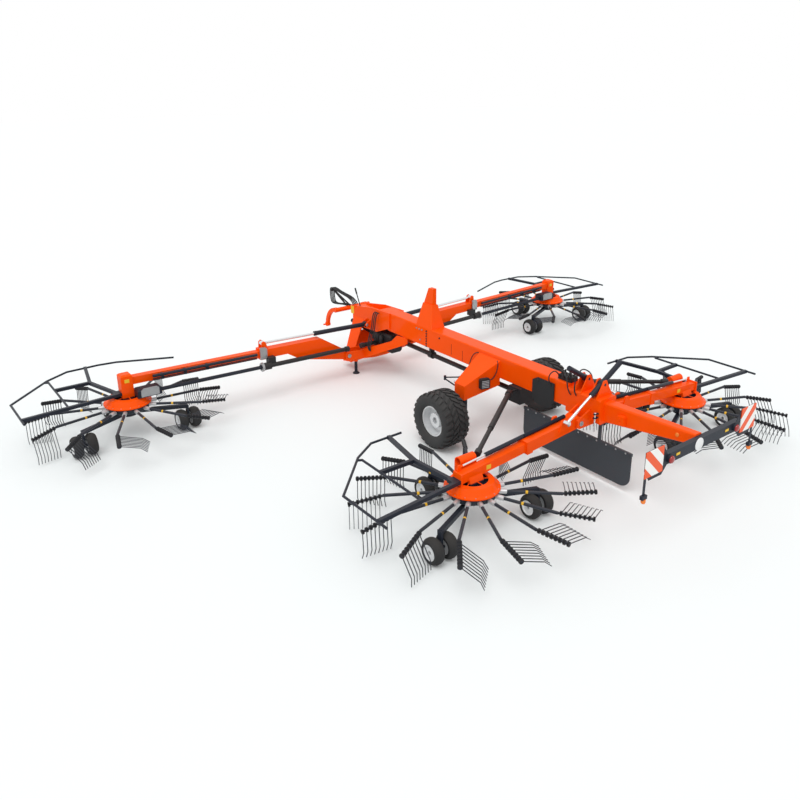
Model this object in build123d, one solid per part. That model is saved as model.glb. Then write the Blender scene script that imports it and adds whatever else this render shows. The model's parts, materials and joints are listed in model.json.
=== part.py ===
from build123d import *
import os
from math import cos, radians, tan

os.makedirs("parts", exist_ok=True)

# Frame, mm: +X is forward, +Y the machine's left, +Z up, and the ground is z = 0.
# The left half is modelled and the right half is its mirror image.
REAR_X, REAR_Y = -3042, 2660      # centre of the rear rotors
FRONT_X, FRONT_Y = 3353, 5710     # centre of the front rotors
AXLE_X, TRACK_Y = -682, 1340      # main axle and the middle of its tyre

# Clearances
RUN_FIT = 0.4                     # a pin in its eye, a rod in its barrel or a beam in its bushing
SIDE_FIT = 6                      # an eye and the cheek beside it
SLIDE_FIT = 8                     # around a telescoping beam, away from its bushing

# Plates and pins
PLATE = 30                        # hinge cheeks and frame side plates
LUG = 22                          # lugs and ears for the cylinders
HINGE_PIN = 30                    # radius of the pins on which the arms fold
CYL_PIN = 25                      # radius of the pins at the cylinders' bases
EDGE = 14                         # chamfer along the folded edges of the beams

# Main beam and the rest post on it
BEAM_HALF, BEAM_BOTTOM, BEAM_TOP = 170, 1130, 1550
BEAM_REAR, BEAM_FRONT = REAR_X + 400, FRONT_X - 355
BEAM_NOSE, BEAM_RAKE = 200, 410   # height of its front end, and length of the slope below that
POST_X, POST_KNEE, POST_TOP = FRONT_X - 2015, 2030, 2370
POST_FOOT, POST_WAIST, POST_TIP = 540, 310, 140   # length at the foot, the knee and the tip
POST_HALF = 48

# Head frame: a boat of two splayed side plates, a tower and a nose
BOAT_REAR, BOAT_FRONT = FRONT_X - 1415, FRONT_X + 535
BOAT_SPLAY = 12                   # degrees by which the side plates open forwards
BOAT_KEEL, BOAT_DEPTH = 150, 210  # lowest point, and depth of the rails
BOAT_BOW, BOAT_STERN = 300, 130   # length of the raised bow, and depth of the stern below the beam
BOAT_LIFT, BOAT_LIP = 40, 24      # rise of the keel at the bow, and thickness of the lip inside it
HINGE_WING = 90                   # hinge cheek beyond its pin
TOWER_FOOT = FRONT_X + 275, FRONT_X + 595, 540   # from x, to x, half width
TOWER_HEAD = FRONT_X + 215, FRONT_X + 615, 200
TOWER_TOP = 1180
CHEEK_REAR, CHEEK_FRONT = FRONT_X - 815, FRONT_X + 665
NOSE_HALF, NOSE_DEEP = 105, 60    # rounded nose that carries the hitch's pin
JACK_Y, JACK_R, JACK_TOP, JACK_FOOT = 580, 35, 520, 80
SWIVEL_X, SWIVEL_Z, SWIVEL_R, SWIVEL_PIN = FRONT_X + 835, 1230, 40, 130
HOOK_R, HOOK_DEEP, HOOK_WIDE = 450, 90, 70   # bend radius and section of the headstock's hooks
HOOK_X, HOOK_Y, HOOK_Z = SWIVEL_X + 170, 420, 1250
LINK_PIN, LINK_PIN_LENGTH = 18.3, 80

# Rotor, seen from its own centre
ARM_Z = 590                       # height of the tine arms' axes
ARM_R, BAR_R = 25, 20             # tine arm and tine bar, radius
KINK_R, KINK = 1330, 12           # radius at which an arm bends down, and by how much
TINE_TIP_Z = 35                   # tine points above the ground
TINE, TINE_BEND = 10, 60          # tine thickness and how far its point leads
TINES, TINE_FIRST, TINE_END = 8, 1395, 15   # tines on an arm, the first one, the last from the tip
DRUM_R, DRUM_Z = 390, (540, 636)  # turning drum that carries the arms
DRUM_EDGE = 16
SOCKET_R, SOCKET_END = 38, 520    # sleeve at the root of each arm
COLUMN_R = 85                     # fixed column through the drum
BELL_Z, BELL_FLANGE, BELL_RIM = (648, 785), 430, 330   # orange cam housing
BELL_DISH, BELL_RIBS = 60, 6
# Cam: bearing of an arm from straight ahead, turn of its tines up to the trailing side (degrees)
CAM = ((-180, 85), (-115, 85), (-75, 0), (85, 4), (160, 85), (180, 85))
# Rotor, arms, bearing of one arm on the left and on the right, tip radius, centre
ROTORS = (("front", 13, {"left": 154.5, "right": 52.3}, 1790, (FRONT_X, FRONT_Y)),
          ("rear", 15, {"left": 107.2, "right": 68.1}, 1866, (REAR_X, REAR_Y)))

# Running wheels under each rotor
TYRE_R, TYRE_W, TWIN, HUB_R = 200, 165, 250, 100
PAIR_AT = {"outer": (-430, 965), "inner": (-430, -965), "lead": (1000, 0)}
AXLE_R = 22
BOGIE_Z, BOGIE = 455, 70          # height and size of the tubes that carry the wheels
PLINTH_R, PLINTH_Z = 150, (400, 510)

# Guard of tube round a rotor, seen from its centre
GUARD_Z, HOOP_R, GUARD_TUBE = 850, 20, 60
GUARD_ELBOW = (887, 424)          # where its arm forks
HOOP_OUTER = ((-400, 1850), (650, 1860), (1430, 1120), (1390, 1050), (-150, 1060))
HOOP_LEAD = {"front": ((1490, 1065), (1780, 620), (1800, 0), (1750, -350), (1300, -1400)),
             "rear": ((1490, 1065), (1780, 620), (1800, 0))}

# Front arm: an outer gooseneck beam, and an inner beam that slides in it
FRONT_FOLD = (840, 520)           # y, z of its hinge
FRONT_EYE_R, FRONT_EYE_HALF = 85, 115
FRONT_RISE = 1.5                  # degrees by which the beams climb outwards
FRONT_AXIS = (2980, 1005)         # y, z where the beams' axis leaves the outer beam
FRONT_BOX, FRONT_BOX_W, WALL = 190, 200, 14
FRONT_KNEE, FRONT_BELLY, FRONT_CHIN = 1520, (2050, 700), 2350
FRONT_BORE, FRONT_TAIL = 1420, 2540   # y of the bore's inner end, and of the inner beam's
BUSHING = 120                     # length of the slide bushing in a beam's mouth
FRONT_HEAD, FRONT_HEAD_Z = 110, 1220
SHAFT_X, SHAFT_DROP = -215, 225   # drive shaft behind and below the front arm
SHAFT_R, SHAFT_CORE = 48, 38
SHAFT_ROOT, SHAFT_MOUTH, SHAFT_HANGER = 900, 2990, (2700, 2860)
CLUTCH_R, CLUTCH = 78, 170        # clutch housing at the shaft's mouth
FRONT_GEAR = (-560, -FRONT_HEAD)  # y of the gearbox beside the front rotor, from its centre

# Rear arm
REAR_FOLD = (420, 1090)
REAR_EYE_R, REAR_EYE_HALF = 95, 110
REAR_HEAD, REAR_HEAD_Z = 130, 900  # half size of the rotor head, and axis height there
REAR_BOX, REAR_BOX_END = 190, 1620
REAR_BORE, REAR_TAIL = 600, 1120  # y of the bore's inner end, and of the sliding beam's
WIDTH_CYL, WIDTH_ROD = 32, 16     # cylinder on top of the arm that sets the width
WIDTH_X = 55                      # its axis ahead of the arm's middle
REAR_REACH = 300                  # end of the sliding beam beyond the rotor's centre
WIDTH_AT = {"root": 620, "mouth": 1560, "eye": REAR_Y + REAR_REACH - 80}
WIDTH_RISE = REAR_BOX / 2 + WIDTH_CYL + SIDE_FIT   # its axis above the beams'
REAR_SLOPE = (REAR_HEAD_Z - REAR_FOLD[1]) / (REAR_Y - REAR_FOLD[0])
HOOD_R, HOOD_FROM, HOOD_TO = 75, -180, 130   # hood of the rear rotor's gearbox, y from its centre
SHAFT_BALL, SHAFT_BOSS = 42, 30   # ball at the root of the rear drive shafts, on the fold axis, and its boss
SHAFT_FROM = (REAR_X + 1540, *REAR_FOLD)
SHAFT_TO = (REAR_X + 190, REAR_Y - 250, 1020)
SLEEVE, CORE_START = 1500, 1050   # length of the outer tube, and where the inner one starts

# Fold cylinders: y, z of the base and of the rod's eye, and the radii
CYL_FRONT, CYL_FRONT_EYE, CYL_FRONT_R, CYL_FRONT_ROD = (300, 1130), (2880, 1220), 50, 28
CYL_FRONT_BARREL = 1340          # from its base pin to its mouth
CYL_REAR, CYL_REAR_EYE, CYL_REAR_R, CYL_REAR_ROD = (0, 1700), (800, 1210), 45, 24
CYL_REAR_SLAB = REAR_BOX / 2 + LUG + SIDE_FIT + CYL_REAR_R   # x from the arm's middle
CYL_REAR_BACK, CYL_REAR_MOUTH = 520, 290   # barrel behind and ahead of its trunnion

# Drive line under the main beam
DRIVE_Z = 920
GEAR_X, GEAR_Z = (BEAM_FRONT - 430, FRONT_X - 130), (600, DRIVE_Z + 90)
INPUT_Z = (805, 915)              # height of the input shaft at the gearbox and at the hitch
SPLIT_X = SHAFT_FROM[0] + 40      # gearbox from which the rear shafts leave
STUB_Y = 580                      # end of the stubs for the front arms' shafts

# Axle and main wheels
KINGPIN_Y, KING_Z, KING_R = TRACK_Y - 540, 800, 40
LEG_ROOT, LEG_END = ((-300, 290), (1000, 1480)), ((-110, 170), (KING_Z, 1080))   # x from the axle, z
LEG_OUT = 80                      # leg beyond its kingpin
WHEEL_R, WHEEL_W, RIM_R, STUB_R = 535, 550, 285, 60
BEAD, SHOULDER = 65, 50           # rim's edge inside the tyre's flank, and height of its shoulder
DISH_R, DISH, HUB_DEEP = 150, 40, 150   # rim's dish, its depth, and the hub behind it
UPRIGHT_R, STEER_ARM, STEER_DEEP = 70, 330, 40

# Tail
TAIL_X = REAR_X - 2000
TAIL_HALF, TAIL_Z, TAIL_ROOT = 200, (1060, 1500), 330   # box behind the rear arms' hinges
BOOM_ROOT, BOOM_END = (100, 1090, 1440), (80, 1320, 1500)   # half width, lowest and highest
BAR_HALF, BAR_Z, BAR_DEEP = 990, (1310, 1470), 90
BOARD, BOARD_AT = 400, (985, 1250)
FLAP, SHEET = 115, 8              # corner cut of the boards' plates, and their thickness
LAMP_R, LAMP_DEEP, MARKER_Z, MARKER_Y, MARKER = 62, 41, 980, 1352, 52
CURTAIN_X, CURTAIN_Z, CURTAIN_Y = (-920, 1510), (90, 690), (45, 55)   # x from the rear rotors
CURTAIN_HANGERS = (-250, 330)


def block(x, y, z):
    """Box between the given pairs of limits."""
    size = [abs(b - a) for a, b in (x, y, z)]
    centre = [(a + b) / 2 for a, b in (x, y, z)]
    return Pos(*centre) * Box(*size)


def plate_xz(points, y):
    """Side-view outline, as thick as the two y limits say."""
    face = Plane.XZ * Polygon(*points, align=None)
    return Pos(0, y[0], 0) * extrude(face, amount=y[1] - y[0], dir=(0, 1, 0))


def plate_yz(points, x):
    """Rear-view outline, as thick as the two x limits say."""
    face = Plane.YZ * Polygon(*points, align=None)
    return Pos(min(x), 0, 0) * extrude(face, amount=max(x) - min(x), dir=(1, 0, 0))


def rod(a, b, radius):
    """Round bar from point a to point b."""
    along = Vector(*b) - Vector(*a)
    return extrude(Plane(origin=a, z_dir=along) * Circle(radius), amount=along.length)


def cross_pin(x, half, y, z, radius):
    """Round bar along X, centred on x."""
    return rod((x - half, y, z), (x + half, y, z), radius)


def bar(a, b, width, height):
    """Rectangular bar from a to b, its width level."""
    along = Vector(*b) - Vector(*a)
    level = along.cross(Vector(0, 0, 1))
    section = Plane(origin=a, x_dir=level, z_dir=along) * Rectangle(width, height)
    return extrude(section, amount=along.length)


def pipe(points, radius):
    """Bent round tube through the points."""
    start = Plane(origin=points[0], z_dir=Vector(*points[1]) - Vector(*points[0]))
    return sweep(start * Circle(radius), path=Polyline(*points), transition=Transition.RIGHT)


def turned(points):
    """Revolve (radius, offset) points about a level axis across the machine."""
    return Rot(90, 0, 0) * revolve(Plane.XZ * Polygon(*points, align=None), axis=Axis.Z)


def tapered(low, high):
    """Loft between two level rectangles, each (z, x limits, y limits)."""
    ends = []
    for z, x, y in (low, high):
        centre = (x[0] + x[1]) / 2, (y[0] + y[1]) / 2, z
        ends.append(Pos(*centre) * Rectangle(x[1] - x[0], y[1] - y[0]))
    return loft(ends)


def pair(shape):
    """The shape and its mirror image, on both sides of the machine."""
    return shape + mirror(shape, about=Plane.XZ)


# Fold cylinders
def fold_cylinder(base, eye, x, barrel_r, rod_r, back, mouth):
    """Barrel and rod in a plane x: the barrel reaches back and ahead of its pivot by these lengths."""
    a, b = Vector(x, *base), Vector(x, *eye)
    unit = (b - a).normalized()
    across = Vector(barrel_r + SIDE_FIT / 2, 0, 0)
    barrel = rod(a - unit * back, a + unit * mouth, barrel_r)
    barrel += [rod(a + unit * (mouth - barrel_r), a + unit * mouth, barrel_r + SIDE_FIT / 2),
               rod(a - across, a + across, barrel_r * 1.2)]
    if back:
        trunnion = across + Vector(SIDE_FIT + LUG, 0, 0)
        barrel += rod(a - trunnion, a + trunnion, CYL_PIN)
        bottom = barrel_r - back
    else:
        barrel -= rod(a - across * 2, a + across * 2, CYL_PIN + RUN_FIT)
        bottom = barrel_r * 2
    barrel -= rod(a + unit * bottom, a + unit * (mouth + 1), rod_r + RUN_FIT)
    stem = rod(a + unit * (mouth - barrel_r * 2), b - unit * rod_r, rod_r)
    stem += rod(b - across, b + across, barrel_r * 0.9)
    return barrel, stem


# Tined rotor
def cam_lift(bearing):
    """Turn of the tines at a bearing, read from the cam table."""
    bearing = (bearing + 180) % 360 - 180
    for (b0, lift0), (b1, lift1) in zip(CAM, CAM[1:]):
        if b0 <= bearing <= b1:
            return lift0 + (lift1 - lift0) * (bearing - b0) / (b1 - b0)


def tine_arm(tip_r):
    """One arm along +X about its own axis, with its tine bar and tines hanging down."""
    fall = tan(radians(KINK))
    root = DRUM_R - SOCKET_R
    arm = rod((root, 0, 0), (KINK_R + BAR_R, 0, 0), ARM_R)
    pieces = [rod((KINK_R, 0, 0), (tip_r, 0, -(tip_r - KINK_R) * fall), BAR_R),
              rod((root, 0, 0), (SOCKET_END, 0, 0), SOCKET_R)]
    point = TINE_TIP_Z - ARM_Z
    half = TINE / 2
    for k in range(TINES):
        at = TINE_FIRST + (tip_r - TINE_END - TINE_FIRST) * k / (TINES - 1)
        top = -(at - KINK_R) * fall
        bend = point + (top - point) / 4
        outline = ((-half, top), (half, top), (half, bend), (half - TINE_BEND, point),
                   (-half - TINE_BEND, point), (-half, bend))
        pieces.append(plate_yz(outline, (at - half, at + half)))
    return arm + pieces


def reel(count, first_bearing, tip_r):
    """Drum with its arms, each turned by the cam."""
    drum = Pos(0, 0, DRUM_Z[0]) * extrude(Circle(DRUM_R), amount=DRUM_Z[1] - DRUM_Z[0])
    drum = chamfer(drum.edges(), DRUM_EDGE)
    drum -= rod((0, 0, 0), (0, 0, ARM_Z * 2), COLUMN_R + RUN_FIT)
    arm = tine_arm(tip_r)
    arms = []
    for k in range(count):
        bearing = first_bearing + k * 360 / count
        arms.append(Rot(0, 0, bearing) * Pos(0, 0, ARM_Z) * Rot(cam_lift(bearing), 0, 0) * arm)
    return drum + arms


def bell():
    """Cam housing: a dished ring over the drum, with ribs in the dish."""
    z0, z1 = BELL_Z
    floor = z1 - BELL_DISH
    lip = BELL_RIM - 85
    outline = ((COLUMN_R, z0), (BELL_FLANGE, z0), (BELL_FLANGE, z0 + 22), (BELL_RIM + 55, z0 + 42),
               (BELL_RIM, z1 - 10), (lip, z1), (lip - 13, floor), (COLUMN_R, floor))
    housing = revolve(Plane.XZ * Polygon(*outline, align=None), axis=Axis.Z)
    rib = block((COLUMN_R, lip), (-8, 8), (floor - 5, z1 - 8))
    return housing + [Rot(0, 0, k * 360 / BELL_RIBS) * rib for k in range(BELL_RIBS)]


# Running gear of a rotor
def bogie():
    """Column and tubes that carry the three wheel pairs, with their axle posts."""
    low, high = PLINTH_Z
    frame = Pos(0, 0, low) * extrude(Circle(PLINTH_R), amount=high - low)
    frame += Pos(0, 0, low) * extrude(Circle(COLUMN_R), amount=BELL_Z[1] - BELL_DISH - low)
    pieces = []
    for x, y in PAIR_AT.values():
        pieces.append(bar((0, 0, BOGIE_Z), (x, y, BOGIE_Z), BOGIE, BOGIE))
        post = ((x - 45, BOGIE_Z + 30), (x + 45, BOGIE_Z + 30), (x + 45, TYRE_R), (x + 22, TYRE_R - 45),
                (x - 22, TYRE_R - 45), (x - 45, TYRE_R))
        pieces.append(plate_xz(post, (y - 18, y + 18)))
        pieces.append(rod((x, y - TWIN / 2, TYRE_R), (x, y + TWIN / 2, TYRE_R), AXLE_R))
    return frame + pieces


def wheel_pair(place):
    """Twin running wheels about one axle."""
    x, y = PAIR_AT[place]
    half, bore = TYRE_W / 2, AXLE_R + RUN_FIT
    crown, dish = TYRE_R - 6, half - 32
    outline = [(bore, -dish), (HUB_R, -dish), (HUB_R + 20, 5 - half), (TYRE_R - 35, -half),
               (crown - 5, 30 - half), (TYRE_R, -25)]
    outline += [(radius, -offset) for radius, offset in reversed(outline)]
    wheel = turned(outline)
    return Pos(x, y - TWIN / 2, TYRE_R) * wheel + Pos(x, y + TWIN / 2, TYRE_R) * wheel


def guard(rotor, root_y):
    """Hoops of tube round the outer front of a rotor, on arms from its head."""
    z, tube = GUARD_Z, GUARD_TUBE
    elbow = GUARD_ELBOW
    pieces = [bar((20, root_y + tube, z), (*elbow, z), tube, tube),
              bar((elbow[0] - tube / 2, elbow[1], z), (HOOP_LEAD[rotor][2][0], 260, z), tube, tube),
              bar((elbow[0], elbow[1] - tube / 2, z), (elbow[0], HOOP_OUTER[-1][1], z), tube, tube),
              bar((-60, root_y + tube, z), (-200, HOOP_OUTER[0][1], z), tube, tube)]
    for hoop in (HOOP_OUTER, HOOP_LEAD[rotor]):
        pieces.append(pipe([(x, y, z) for x, y in hoop], HOOP_R))
    bridge = HOOP_OUTER[2], HOOP_LEAD[rotor][0]
    pieces.append(rod((*bridge[0], z), (*bridge[1], z), HOOP_R))
    return bar((0, root_y, z), (0, root_y + 2 * tube, z), tube * 3, tube) + pieces


# Front arm
def on_front_axis(y, drop=0):
    """Height of the front beams' axis, or of a line below it, at y."""
    return FRONT_AXIS[1] - drop + (y - FRONT_AXIS[0]) * tan(radians(FRONT_RISE))


def along_front(y0, y1, width, height):
    """Rectangular bar along the front beams' axis."""
    ends = [(FRONT_X, y, on_front_axis(y)) for y in (y0, y1)]
    return bar(*ends, width, height)


def front_outer():
    """Gooseneck that folds up about its low hinge, bored for the inner beam."""
    end, half = FRONT_AXIS[0], FRONT_BOX / 2
    fold_y, fold_z = FRONT_FOLD
    outline = ((fold_y - 40, fold_z + 75), (FRONT_KNEE, on_front_axis(FRONT_KNEE) + half),
               (end, on_front_axis(end) + half), (end, on_front_axis(end) - half),
               (FRONT_CHIN, on_front_axis(FRONT_CHIN) - half), FRONT_BELLY, (fold_y + 70, fold_z - 80))
    arm = plate_yz(outline, (FRONT_X - FRONT_BOX_W / 2, FRONT_X + FRONT_BOX_W / 2))
    collar = FRONT_BOX_W + 2 * WALL
    arm += along_front(end - BUSHING, end, collar, FRONT_BOX + 2 * WALL)
    arm += cross_pin(FRONT_X, FRONT_EYE_HALF, *FRONT_FOLD, FRONT_EYE_R)
    eye_y, eye_z = CYL_FRONT_EYE
    deck = on_front_axis(eye_y)
    lug = ((eye_y - 120, deck), (eye_y - 45, eye_z + 30), (eye_y, eye_z + 60), (eye_y + 45, eye_z + 30),
           (eye_y + 60, deck))
    for side in (-1, 1):
        inner = side * (CYL_FRONT_R + SIDE_FIT / 2 + SIDE_FIT)
        arm += plate_yz(lug, (FRONT_X + inner, FRONT_X + inner + side * LUG))
    wide, high = FRONT_BOX_W - 2 * WALL, FRONT_BOX - 2 * WALL
    snug = 2 * (SLIDE_FIT - RUN_FIT)
    arm -= along_front(FRONT_BORE, end - BUSHING, wide, high)
    arm -= along_front(FRONT_BORE, end + BUSHING, wide - snug, high - snug)
    return arm - cross_pin(FRONT_X, 2 * FRONT_EYE_HALF, *FRONT_FOLD, HINGE_PIN + RUN_FIT)


def front_inner():
    """Sliding beam with the rotor's head and cam housing."""
    gap = 2 * (WALL + SLIDE_FIT)
    beam = along_front(FRONT_TAIL, FRONT_Y + FRONT_HEAD / 2, FRONT_BOX_W - gap, FRONT_BOX - gap)
    x, y = (FRONT_X - FRONT_HEAD, FRONT_X + FRONT_HEAD), (FRONT_Y - FRONT_HEAD, FRONT_Y + FRONT_HEAD)
    head = block(x, y, (BELL_Z[1] - BELL_DISH, FRONT_HEAD_Z))
    head = chamfer(head.edges().group_by(Axis.Z)[-1], EDGE * 2)
    return beam + [head, Pos(FRONT_X, FRONT_Y, 0) * bell()]


def front_shaft_rod(y0, y1, radius):
    """Round bar along the front drive shaft's axis."""
    ends = [(FRONT_X + SHAFT_X, y, on_front_axis(y, SHAFT_DROP)) for y in (y0, y1)]
    return rod(*ends, radius)


def front_frame():
    """Running gear, guard, gearbox and the inner half of the drive shaft."""
    centre = Pos(FRONT_X, FRONT_Y, 0)
    x = FRONT_X + SHAFT_X
    y0, y1 = (FRONT_Y + offset for offset in FRONT_GEAR)
    shaft = front_shaft_rod(FRONT_TAIL, y0, SHAFT_CORE)
    gearbox = block((x - 110, x + 130), (y0, y1), (BELL_Z[1], on_front_axis(y0, SHAFT_DROP) + 110))
    gearbox = chamfer(gearbox.edges().group_by(Axis.Z)[-1], EDGE * 2)
    return centre * bogie() + [centre * guard("front", FRONT_HEAD), shaft, gearbox]


def front_shaft():
    """Outer half of the drive shaft with its clutch, hung from the outer beam."""
    shaft = front_shaft_rod(SHAFT_ROOT, SHAFT_MOUTH, SHAFT_R)
    shaft += front_shaft_rod(SHAFT_ROOT, SHAFT_ROOT + CLUTCH / 2, SHAFT_R + 14)
    shaft += front_shaft_rod(SHAFT_MOUTH - CLUTCH, SHAFT_MOUTH, CLUTCH_R)
    shaft -= front_shaft_rod(FRONT_BORE, SHAFT_MOUTH + 1, SHAFT_CORE + RUN_FIT)
    low = on_front_axis(SHAFT_HANGER[0], SHAFT_DROP) + (SHAFT_CORE + SHAFT_R) / 2
    x = FRONT_X + SHAFT_X - 20, FRONT_X - FRONT_BOX_W / 2
    return shaft + block(x, SHAFT_HANGER, (low, low + 130))


# Rear arm
def on_rear_axis(y):
    """Point on the rear beams' axis at y."""
    return REAR_X, y, REAR_FOLD[1] + (y - REAR_FOLD[0]) * REAR_SLOPE


def width_rod(y0, y1, radius):
    """Round bar along the width cylinder's axis, on top of the beams."""
    ends = [Vector(*on_rear_axis(y)) + Vector(WIDTH_X, 0, WIDTH_RISE) for y in (y0, y1)]
    return rod(*ends, radius)


def along_rear(y0, y1, size):
    """Square bar along the rear beams' axis."""
    return bar(on_rear_axis(y0), on_rear_axis(y1), size, size)


def rear_base():
    """Box beam that folds up, with lugs for its cylinder on both sides."""
    half = REAR_BOX / 2
    arm = along_rear(REAR_FOLD[0], REAR_BOX_END, REAR_BOX)
    arm += along_rear(REAR_BOX_END - BUSHING, REAR_BOX_END, REAR_BOX + 2 * WALL)
    arm += cross_pin(REAR_X, REAR_EYE_HALF, *REAR_FOLD, REAR_EYE_R)
    eye_y, eye_z = CYL_REAR_EYE
    deck = on_rear_axis(eye_y)[2]
    lug = ((eye_y - 110, deck), (eye_y - 40, eye_z + 30), (eye_y + 40, eye_z + 30), (eye_y + 110, deck))
    for side in (-1, 1):
        arm += plate_yz(lug, (REAR_X + side * (half - EDGE), REAR_X + side * (half + LUG)))
    root, mouth = WIDTH_AT["root"], WIDTH_AT["mouth"]
    arm += width_rod(root, mouth, WIDTH_CYL)
    for y in (root, mouth - BUSHING):
        arm += along_rear(y, y + BUSHING, WIDTH_CYL).moved(Pos(WIDTH_X, 0, REAR_BOX / 2 + WIDTH_CYL / 2))
    arm -= width_rod(root + BUSHING, mouth + EDGE, WIDTH_ROD + RUN_FIT)
    bore = REAR_BOX - 2 * WALL
    arm -= along_rear(REAR_BORE, REAR_BOX_END - BUSHING, bore)
    arm -= along_rear(REAR_BORE, REAR_BOX_END + BUSHING, bore - 2 * (SLIDE_FIT - RUN_FIT))
    return arm - cross_pin(REAR_X, 2 * REAR_EYE_HALF, *REAR_FOLD, HINGE_PIN + RUN_FIT)


def rear_slide():
    """Sliding beam over the cam housing, with the gearbox's hood and the width cylinder's rod."""
    end = REAR_Y + REAR_REACH
    slide = along_rear(REAR_TAIL, end - PLATE / 2, REAR_BOX - 2 * (WALL + SLIDE_FIT))
    axis, half, floor = on_rear_axis(end)[2], REAR_BOX / 2, BELL_Z[1] - BELL_DISH
    flange = block((REAR_X - half, REAR_X + half), (end - PLATE, end), (axis - half, axis + half))
    y = REAR_Y - REAR_HEAD, REAR_Y + REAR_HEAD
    pedestal = tapered((floor, (REAR_X - REAR_HEAD, REAR_X + REAR_HEAD), y),
                       (REAR_HEAD_Z - EDGE, (REAR_X - REAR_HEAD / 2, REAR_X + REAR_HEAD / 2), y))
    x, _, z = SHAFT_TO
    y0, y1 = REAR_Y + HOOD_FROM, REAR_Y + HOOD_TO
    hood = block((x - HOOD_R, x + HOOD_R), (y0, y1), (floor, z)) + rod((x, y0, z), (x, y1, z), HOOD_R)
    hood -= rod((x, y0 + PLATE, z), (x, y1 + 1, z), HOOD_R - WALL)
    eye, mouth = WIDTH_AT["eye"], WIDTH_AT["mouth"]
    deck = on_rear_axis(eye)[2]
    top = deck + WIDTH_RISE + WIDTH_CYL
    lug = ((eye - 50, deck), (eye - 25, top), (eye + 25, top), (eye + 50, deck))
    return slide + [flange, pedestal, hood, width_rod(mouth - BUSHING, eye, WIDTH_ROD),
                    plate_yz(lug, (REAR_X + WIDTH_X - LUG / 2, REAR_X + WIDTH_X + LUG / 2)),
                    Pos(REAR_X, REAR_Y, 0) * bell()]


def rear_frame():
    """Running gear and guard of the rear rotor."""
    centre = Pos(REAR_X, REAR_Y, 0)
    return centre * bogie() + centre * guard("rear", REAR_REACH)


def rear_shaft():
    """Telescopic drive shaft: a sleeve on the chassis' ball, and a core that slides in it."""
    a, b = Vector(*SHAFT_FROM), Vector(*SHAFT_TO)
    unit = (b - a).normalized()
    cup = SHAFT_BALL * 0.6
    sleeve = rod(a + unit * cup, a + unit * SLEEVE, SHAFT_R)
    sleeve += rod(a + unit * cup, a + unit * SHAFT_BALL * 3, SHAFT_R + 14)
    sleeve -= rod(a + unit * SHAFT_BALL * 5, a + unit * (SLEEVE + 1), SHAFT_CORE + RUN_FIT)
    sleeve += rod(a - Vector(0, 0, SHAFT_BALL + 2 * WALL), a, SHAFT_BOSS)
    sleeve -= Pos(a) * Sphere(SHAFT_BALL + RUN_FIT)
    core = rod(a + unit * CORE_START, b, SHAFT_CORE) + rod(b - unit * SHAFT_BALL * 3, b, SHAFT_R + 7)
    return sleeve, core


# Chassis
def main_beam():
    """Box beam with a raked nose, and the rest post on its saddle."""
    nose = BEAM_TOP - EDGE * 5
    outline = ((BEAM_REAR, BEAM_BOTTOM), (BEAM_FRONT - BEAM_RAKE, BEAM_BOTTOM),
               (BEAM_FRONT, nose - BEAM_NOSE), (BEAM_FRONT, nose), (BEAM_FRONT - EDGE * 4, BEAM_TOP),
               (BEAM_REAR, BEAM_TOP))
    beam = plate_xz(outline, (-BEAM_HALF, BEAM_HALF))
    beam = chamfer(beam.edges().filter_by(Axis.X), EDGE)
    foot = BEAM_TOP - EDGE, (POST_X - POST_FOOT / 2, POST_X + POST_FOOT / 2), (-BEAM_HALF, BEAM_HALF)
    knee = POST_KNEE, (POST_X - POST_WAIST / 2, POST_X + POST_WAIST / 2), (-POST_HALF * 1.5, POST_HALF * 1.5)
    heel = POST_KNEE - EDGE, (POST_X - POST_TIP, POST_X + POST_WAIST / 2), (-POST_HALF, POST_HALF)
    tip = POST_TOP, (POST_X - POST_TIP, POST_X), (-POST_HALF, POST_HALF)
    return beam + [tapered(foot, knee), tapered(heel, tip)]


def boat_side():
    """Left side plate of the head frame, splayed outwards from the beam's underside."""
    length = (BOAT_FRONT - BOAT_REAR) / cos(radians(BOAT_SPLAY))
    bow, stern = length - BOAT_BOW, BEAM_BOTTOM - BOAT_STERN
    keel, lip = BOAT_KEEL + BOAT_LIFT, BOAT_LIP
    neck = 1.5 * BOAT_BOW
    outline = ((0, BEAM_BOTTOM), (0, stern), (bow, keel), (length, BOAT_KEEL),
               (length + 2 * PLATE, keel + BOAT_DEPTH), (length - 2 * PLATE, keel + BOAT_DEPTH * 0.6),
               (neck, stern - lip), (BOAT_BOW, BEAM_BOTTOM))
    rail = ((BOAT_LIFT, stern), (bow, keel), (bow, keel + lip), (BOAT_LIFT, stern + lip))
    side = plate_xz(outline, (-PLATE, 0)) + plate_xz(rail, (-PLATE * 3, 0))
    return Pos(BOAT_REAR, BEAM_HALF, 0) * Rot(0, 0, BOAT_SPLAY) * side


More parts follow.
